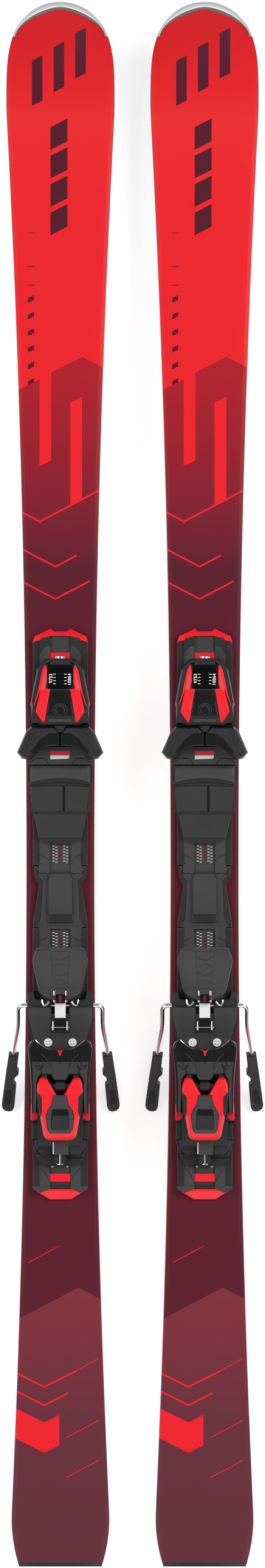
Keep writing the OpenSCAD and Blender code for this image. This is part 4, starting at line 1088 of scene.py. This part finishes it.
for s in SIDES:
    wall = loft(-338, -262.4, cup_inner, cup_half, cup_foot, cup_top, 2.6, 0, 70)
    roof_half = curve((-262, 25), (-298, 19))
    cover = loft(-297, -263, wide(roof_half), lambda y: np.where(
        mouth(y) > 0, -np.minimum(mouth(y), roof_half(y) - 1), 0.9), level(50), cup_top, 0.5, 0, 40)
    back = loft(-297, -274.2, wide(roof_half), roof_half, lambda y: cup_top(y) - 6,
                lambda y: cup_top(y) - 0.5, 0.5, 0, 30)
    piece(s, "cup_shell", "heel_cup", GLOSS_BLACK,
          gather(mirror(wall), mirror(cover)), ("heel_cup",))
    # The bridge inside the cup is near black, darker than the cup's gloss black: painted shade in
    # the cup's hollow.
    piece(s, "cup_bridge", "heel_cup", DIAL_DARK, back)
    treadle = loft(-292, -275.5, level(-24), level(24), lambda y: 24 + 0.62 * (y + 292),
                   lambda y: 28.6 + 0.62 * (y + 292), 0.6, 0, 16)
    back_wall = box(-19, 19, -298.4, -293.4, 26, 53)
    axle = wire([(-30.6, -318, 28), (-20, -318, 28), (20, -318, 28), (30.6, -318, 28)], 4.4, 24)
    piece(s, "cup_treadle", "heel_cup", BLACK, gather(treadle, back_wall, axle),
          bevel=0.3)
    panel_half = curve((-286.6, 8.9), (-300, 8.5), (-303.6, 5.6))
    panel = loft(-303.6, -286.6, wide(panel_half), panel_half, level(48),
                 curve((-286.6, 61.8), (-303.6, 55.4)), 0.5, 0, 14)
    piece(s, "cup_panel", "heel_cup", MID, panel)
    ribs = stripe([(19.5, -276.6), (14.5, -281), (10.4, -287), (9.6, -292)], 1.5,
                  lambda y: float(cup_top(y)) - 0.2, 0.9)
    piece(s, "cup_ribs", "heel_cup", DARK, mirror(ribs), bevel=0.3)
    bump = turned(22.4, -287.6, [5.6, 5.2, 4.2, 2.6, 0.1],
                  float(cup_top(-287.6)) + np.array([-2, -0.4, 0.8, 1.6, 1.9]), 28)
    piece(s, "cup_bumps", "heel_cup", DARK, mirror(bump), sharp=60)
    arrow = slab([(-3.7, -272.0), (0, -273.6), (3.7, -272.0), (1.9, -273.9), (0.7, -277.6),
                  (0, -279.2), (-0.7, -277.6), (-1.9, -273.9)], 62.6, 64.7)
    piece(s, "cup_red_mark", "heel_cup", RED, arrow)
    # Thin chrome wires along the lip of the cup's mouth stand in for its glints: painted highlight.
    glint = wire([(MOUTH_R * math.sin(q), MOUTH_Y - MOUTH_R * math.cos(q), 62 - 2 * q)
                  for q in np.linspace(0.55, 0.86, 9)], 0.6, 8)
    piece(s, "cup_lip_glints", "heel_cup", CHROME, mirror(glint))

# ---------------------------------------------------------------------------------------------
# Step-out lever. A red plastic lever lies over the cup and the spring tower; a pole's tip presses
# the dished pad at its end to open the cup.
# ---------------------------------------------------------------------------------------------
lever_top = curve((-300.6, 54.6), (-303, 57), (-310, 59), (-319, 60), (-340, 57), (-356, 52),
                  (-363, 48.6), (-366, 45))
lever_half = curve((-300.8, 19.6), (-302.6, 21.4), (-308, 23.2), (-315.6, 23.9), (-330, 22.3),
                   (-342, 20.4), (-361.4, 16.8), (-364.6, 14.6), (-366, 11.5))
lever_notch = curve((-300.8, 15.6), (-302.3, 13.2), (-318.8, 4.2), (-319.4, 0.3))
pad_half = curve((-319.8, 6.6), (-324, 7.2), (-329, 8.6), (-335, 12.4), (-341, 14.1),
                 (-350, 13.0), (-355, 12.2), (-357.2, 10.8), (-357.8, 9.8))


def rim_half(y):
    """Half width of the rim 0.9 mm outside the pole pad, held at the pad's ends."""
    return pad_half(np.clip(y, -357.6, -320)) + 0.9


for s in SIDES:
    lobes = loft(-319.4, -300.8, lever_notch, lever_half, level(43), lever_top, 1.6, 0, 40)
    body = loft(-366, -319.2, wide(lever_half), lever_half,
                curve((-319, 43), (-340, 43.5), (-366, 40.8)), lever_top, 1.8, 0, 60)
    piece(s, "lever_body", "heel_lever", RED, gather(mirror(lobes), body),
          ("heel_lever",))
    side_inset = loft(-342, -316, curve((-316, 23.4), (-320.7, 18), (-335.8, 18), (-342, 20.2)),
                      lambda y: lever_half(y) + 0.15, lambda y: lever_top(y) - 6,
                      lambda y: lever_top(y) + 0.15, 1.2, 0, 30)
    piece(s, "lever_insets", "heel_lever", DARK, mirror(side_inset))
    # Lighter red facets on the lever's rear sides: painted highlight.
    side_facet = loft(-361, -338, curve((-338, 20.8), (-342, 17.4), (-361, 14.6)),
                      lambda y: lever_half(y) + 0.05, lambda y: lever_top(y) - 5,
                      lambda y: lever_top(y) + 0.08, 1.4, 0, 24)
    piece(s, "lever_facets", "heel_lever", LIT_RED, mirror(side_facet))
    necks = loft(-301.4, -294.6, level(13.4), curve((-294.6, 18), (-301, 20.4)), level(46),
                 curve((-294.6, 52.6), (-301.4, 55.4)), 1.4, 0, 10)
    bar = wire([(-21.8, -310, 50), (-8, -310, 50), (8, -310, 50), (21.8, -310, 50)], 3.2, 20)
    piece(s, "lever_necks", "heel_lever", BLACK, gather(mirror(necks), bar))
    piece(s, "pad_rim", "heel_lever", BLACK, loft(
        -358.8, -319, wide(rim_half), rim_half, lambda y: lever_top(y) - 3,
        lambda y: lever_top(y) + 0.25, 0.6, 0, 44))
    piece(s, "pole_pad", "heel_lever", RAIL, loft(
        -357.8, -319.9, wide(pad_half), pad_half, lambda y: lever_top(y) - 2,
        lambda y: lever_top(y) + 0.7, 0.8, 0, 44))
    dish_half = curve((-333.6, 7.4), (-335, 8.6), (-344, 9.4), (-353, 9.6), (-355, 8.4))
    piece(s, "pole_dish", "heel_lever", GLOSS_BLACK, loft(
        -355, -333.6, wide(dish_half), dish_half, lambda y: lever_top(y) - 1,
        lambda y: lever_top(y) + 1.15, 0.7, -0.35, 30))

# ---------------------------------------------------------------------------------------------
# Studio: a pale floor under the skis, soft lights from both sides and a camera straight above,
# far away on a long lens.
# ---------------------------------------------------------------------------------------------
floor_mat, _, floor_in = surface("pale_floor", 0.9, specular=0.1)
floor_in["Base Color"].default_value = (0.93, 0.93, 0.93, 1)
floor_in["Emission Color"].default_value = (1, 1, 1, 1)
floor_in["Emission Strength"].default_value = 0.62
floor_mesh = bpy.data.meshes.new("floor")
floor_mesh.from_pydata([(-6, -6, 0), (6, -6, 0), (6, 6, 0), (-6, 6, 0)], [], [(0, 1, 2, 3)])
floor_mesh.materials.append(floor_mat)
floor = bpy.data.objects.new("floor", floor_mesh)
bpy.context.scene.collection.objects.link(floor)

world = bpy.data.worlds.new("studio")
bpy.context.scene.world = world
world.use_nodes = True
world.node_tree.nodes["Background"].inputs[0].default_value = (1, 1, 1, 1)
world.node_tree.nodes["Background"].inputs[1].default_value = 0.33

for name, place, size, watts in (("key", (2.6, 1.2, 3.2), 2.4, 100),
                                 ("fill", (-2.8, 0.2, 3.0), 2.4, 62),
                                 ("rim", (0.2, -3.4, 2.6), 2.2, 36)):
    lamp = bpy.data.lights.new(name, "AREA")
    lamp.size = size
    lamp.energy = watts
    lamp_obj = bpy.data.objects.new(name, lamp)
    lamp_obj.location = place
    lamp_obj.rotation_euler = Vector([-c for c in place]).to_track_quat("-Z", "Y").to_euler()
    bpy.context.scene.collection.objects.link(lamp_obj)

# Length of floor that the frame spans, where its middle lies, the height that the camera is
# set back from, and how far it is set back, all in metres.
VIEW_HEIGHT = 1.62288
VIEW_CENTRE_Y = 0.00126
FOCUS_Z = 0.06
CAMERA_RISE = 12.0
camera_data = bpy.data.cameras.new("camera")
camera_data.sensor_width = 36
camera_data.lens = 36 * CAMERA_RISE / VIEW_HEIGHT
camera_data.clip_end = 60
camera = bpy.data.objects.new("camera", camera_data)
camera.location = (0, VIEW_CENTRE_Y, CAMERA_RISE + FOCUS_Z)
bpy.context.scene.collection.objects.link(camera)
bpy.context.scene.camera = camera
bpy.context.scene.view_settings.view_transform = "Standard"
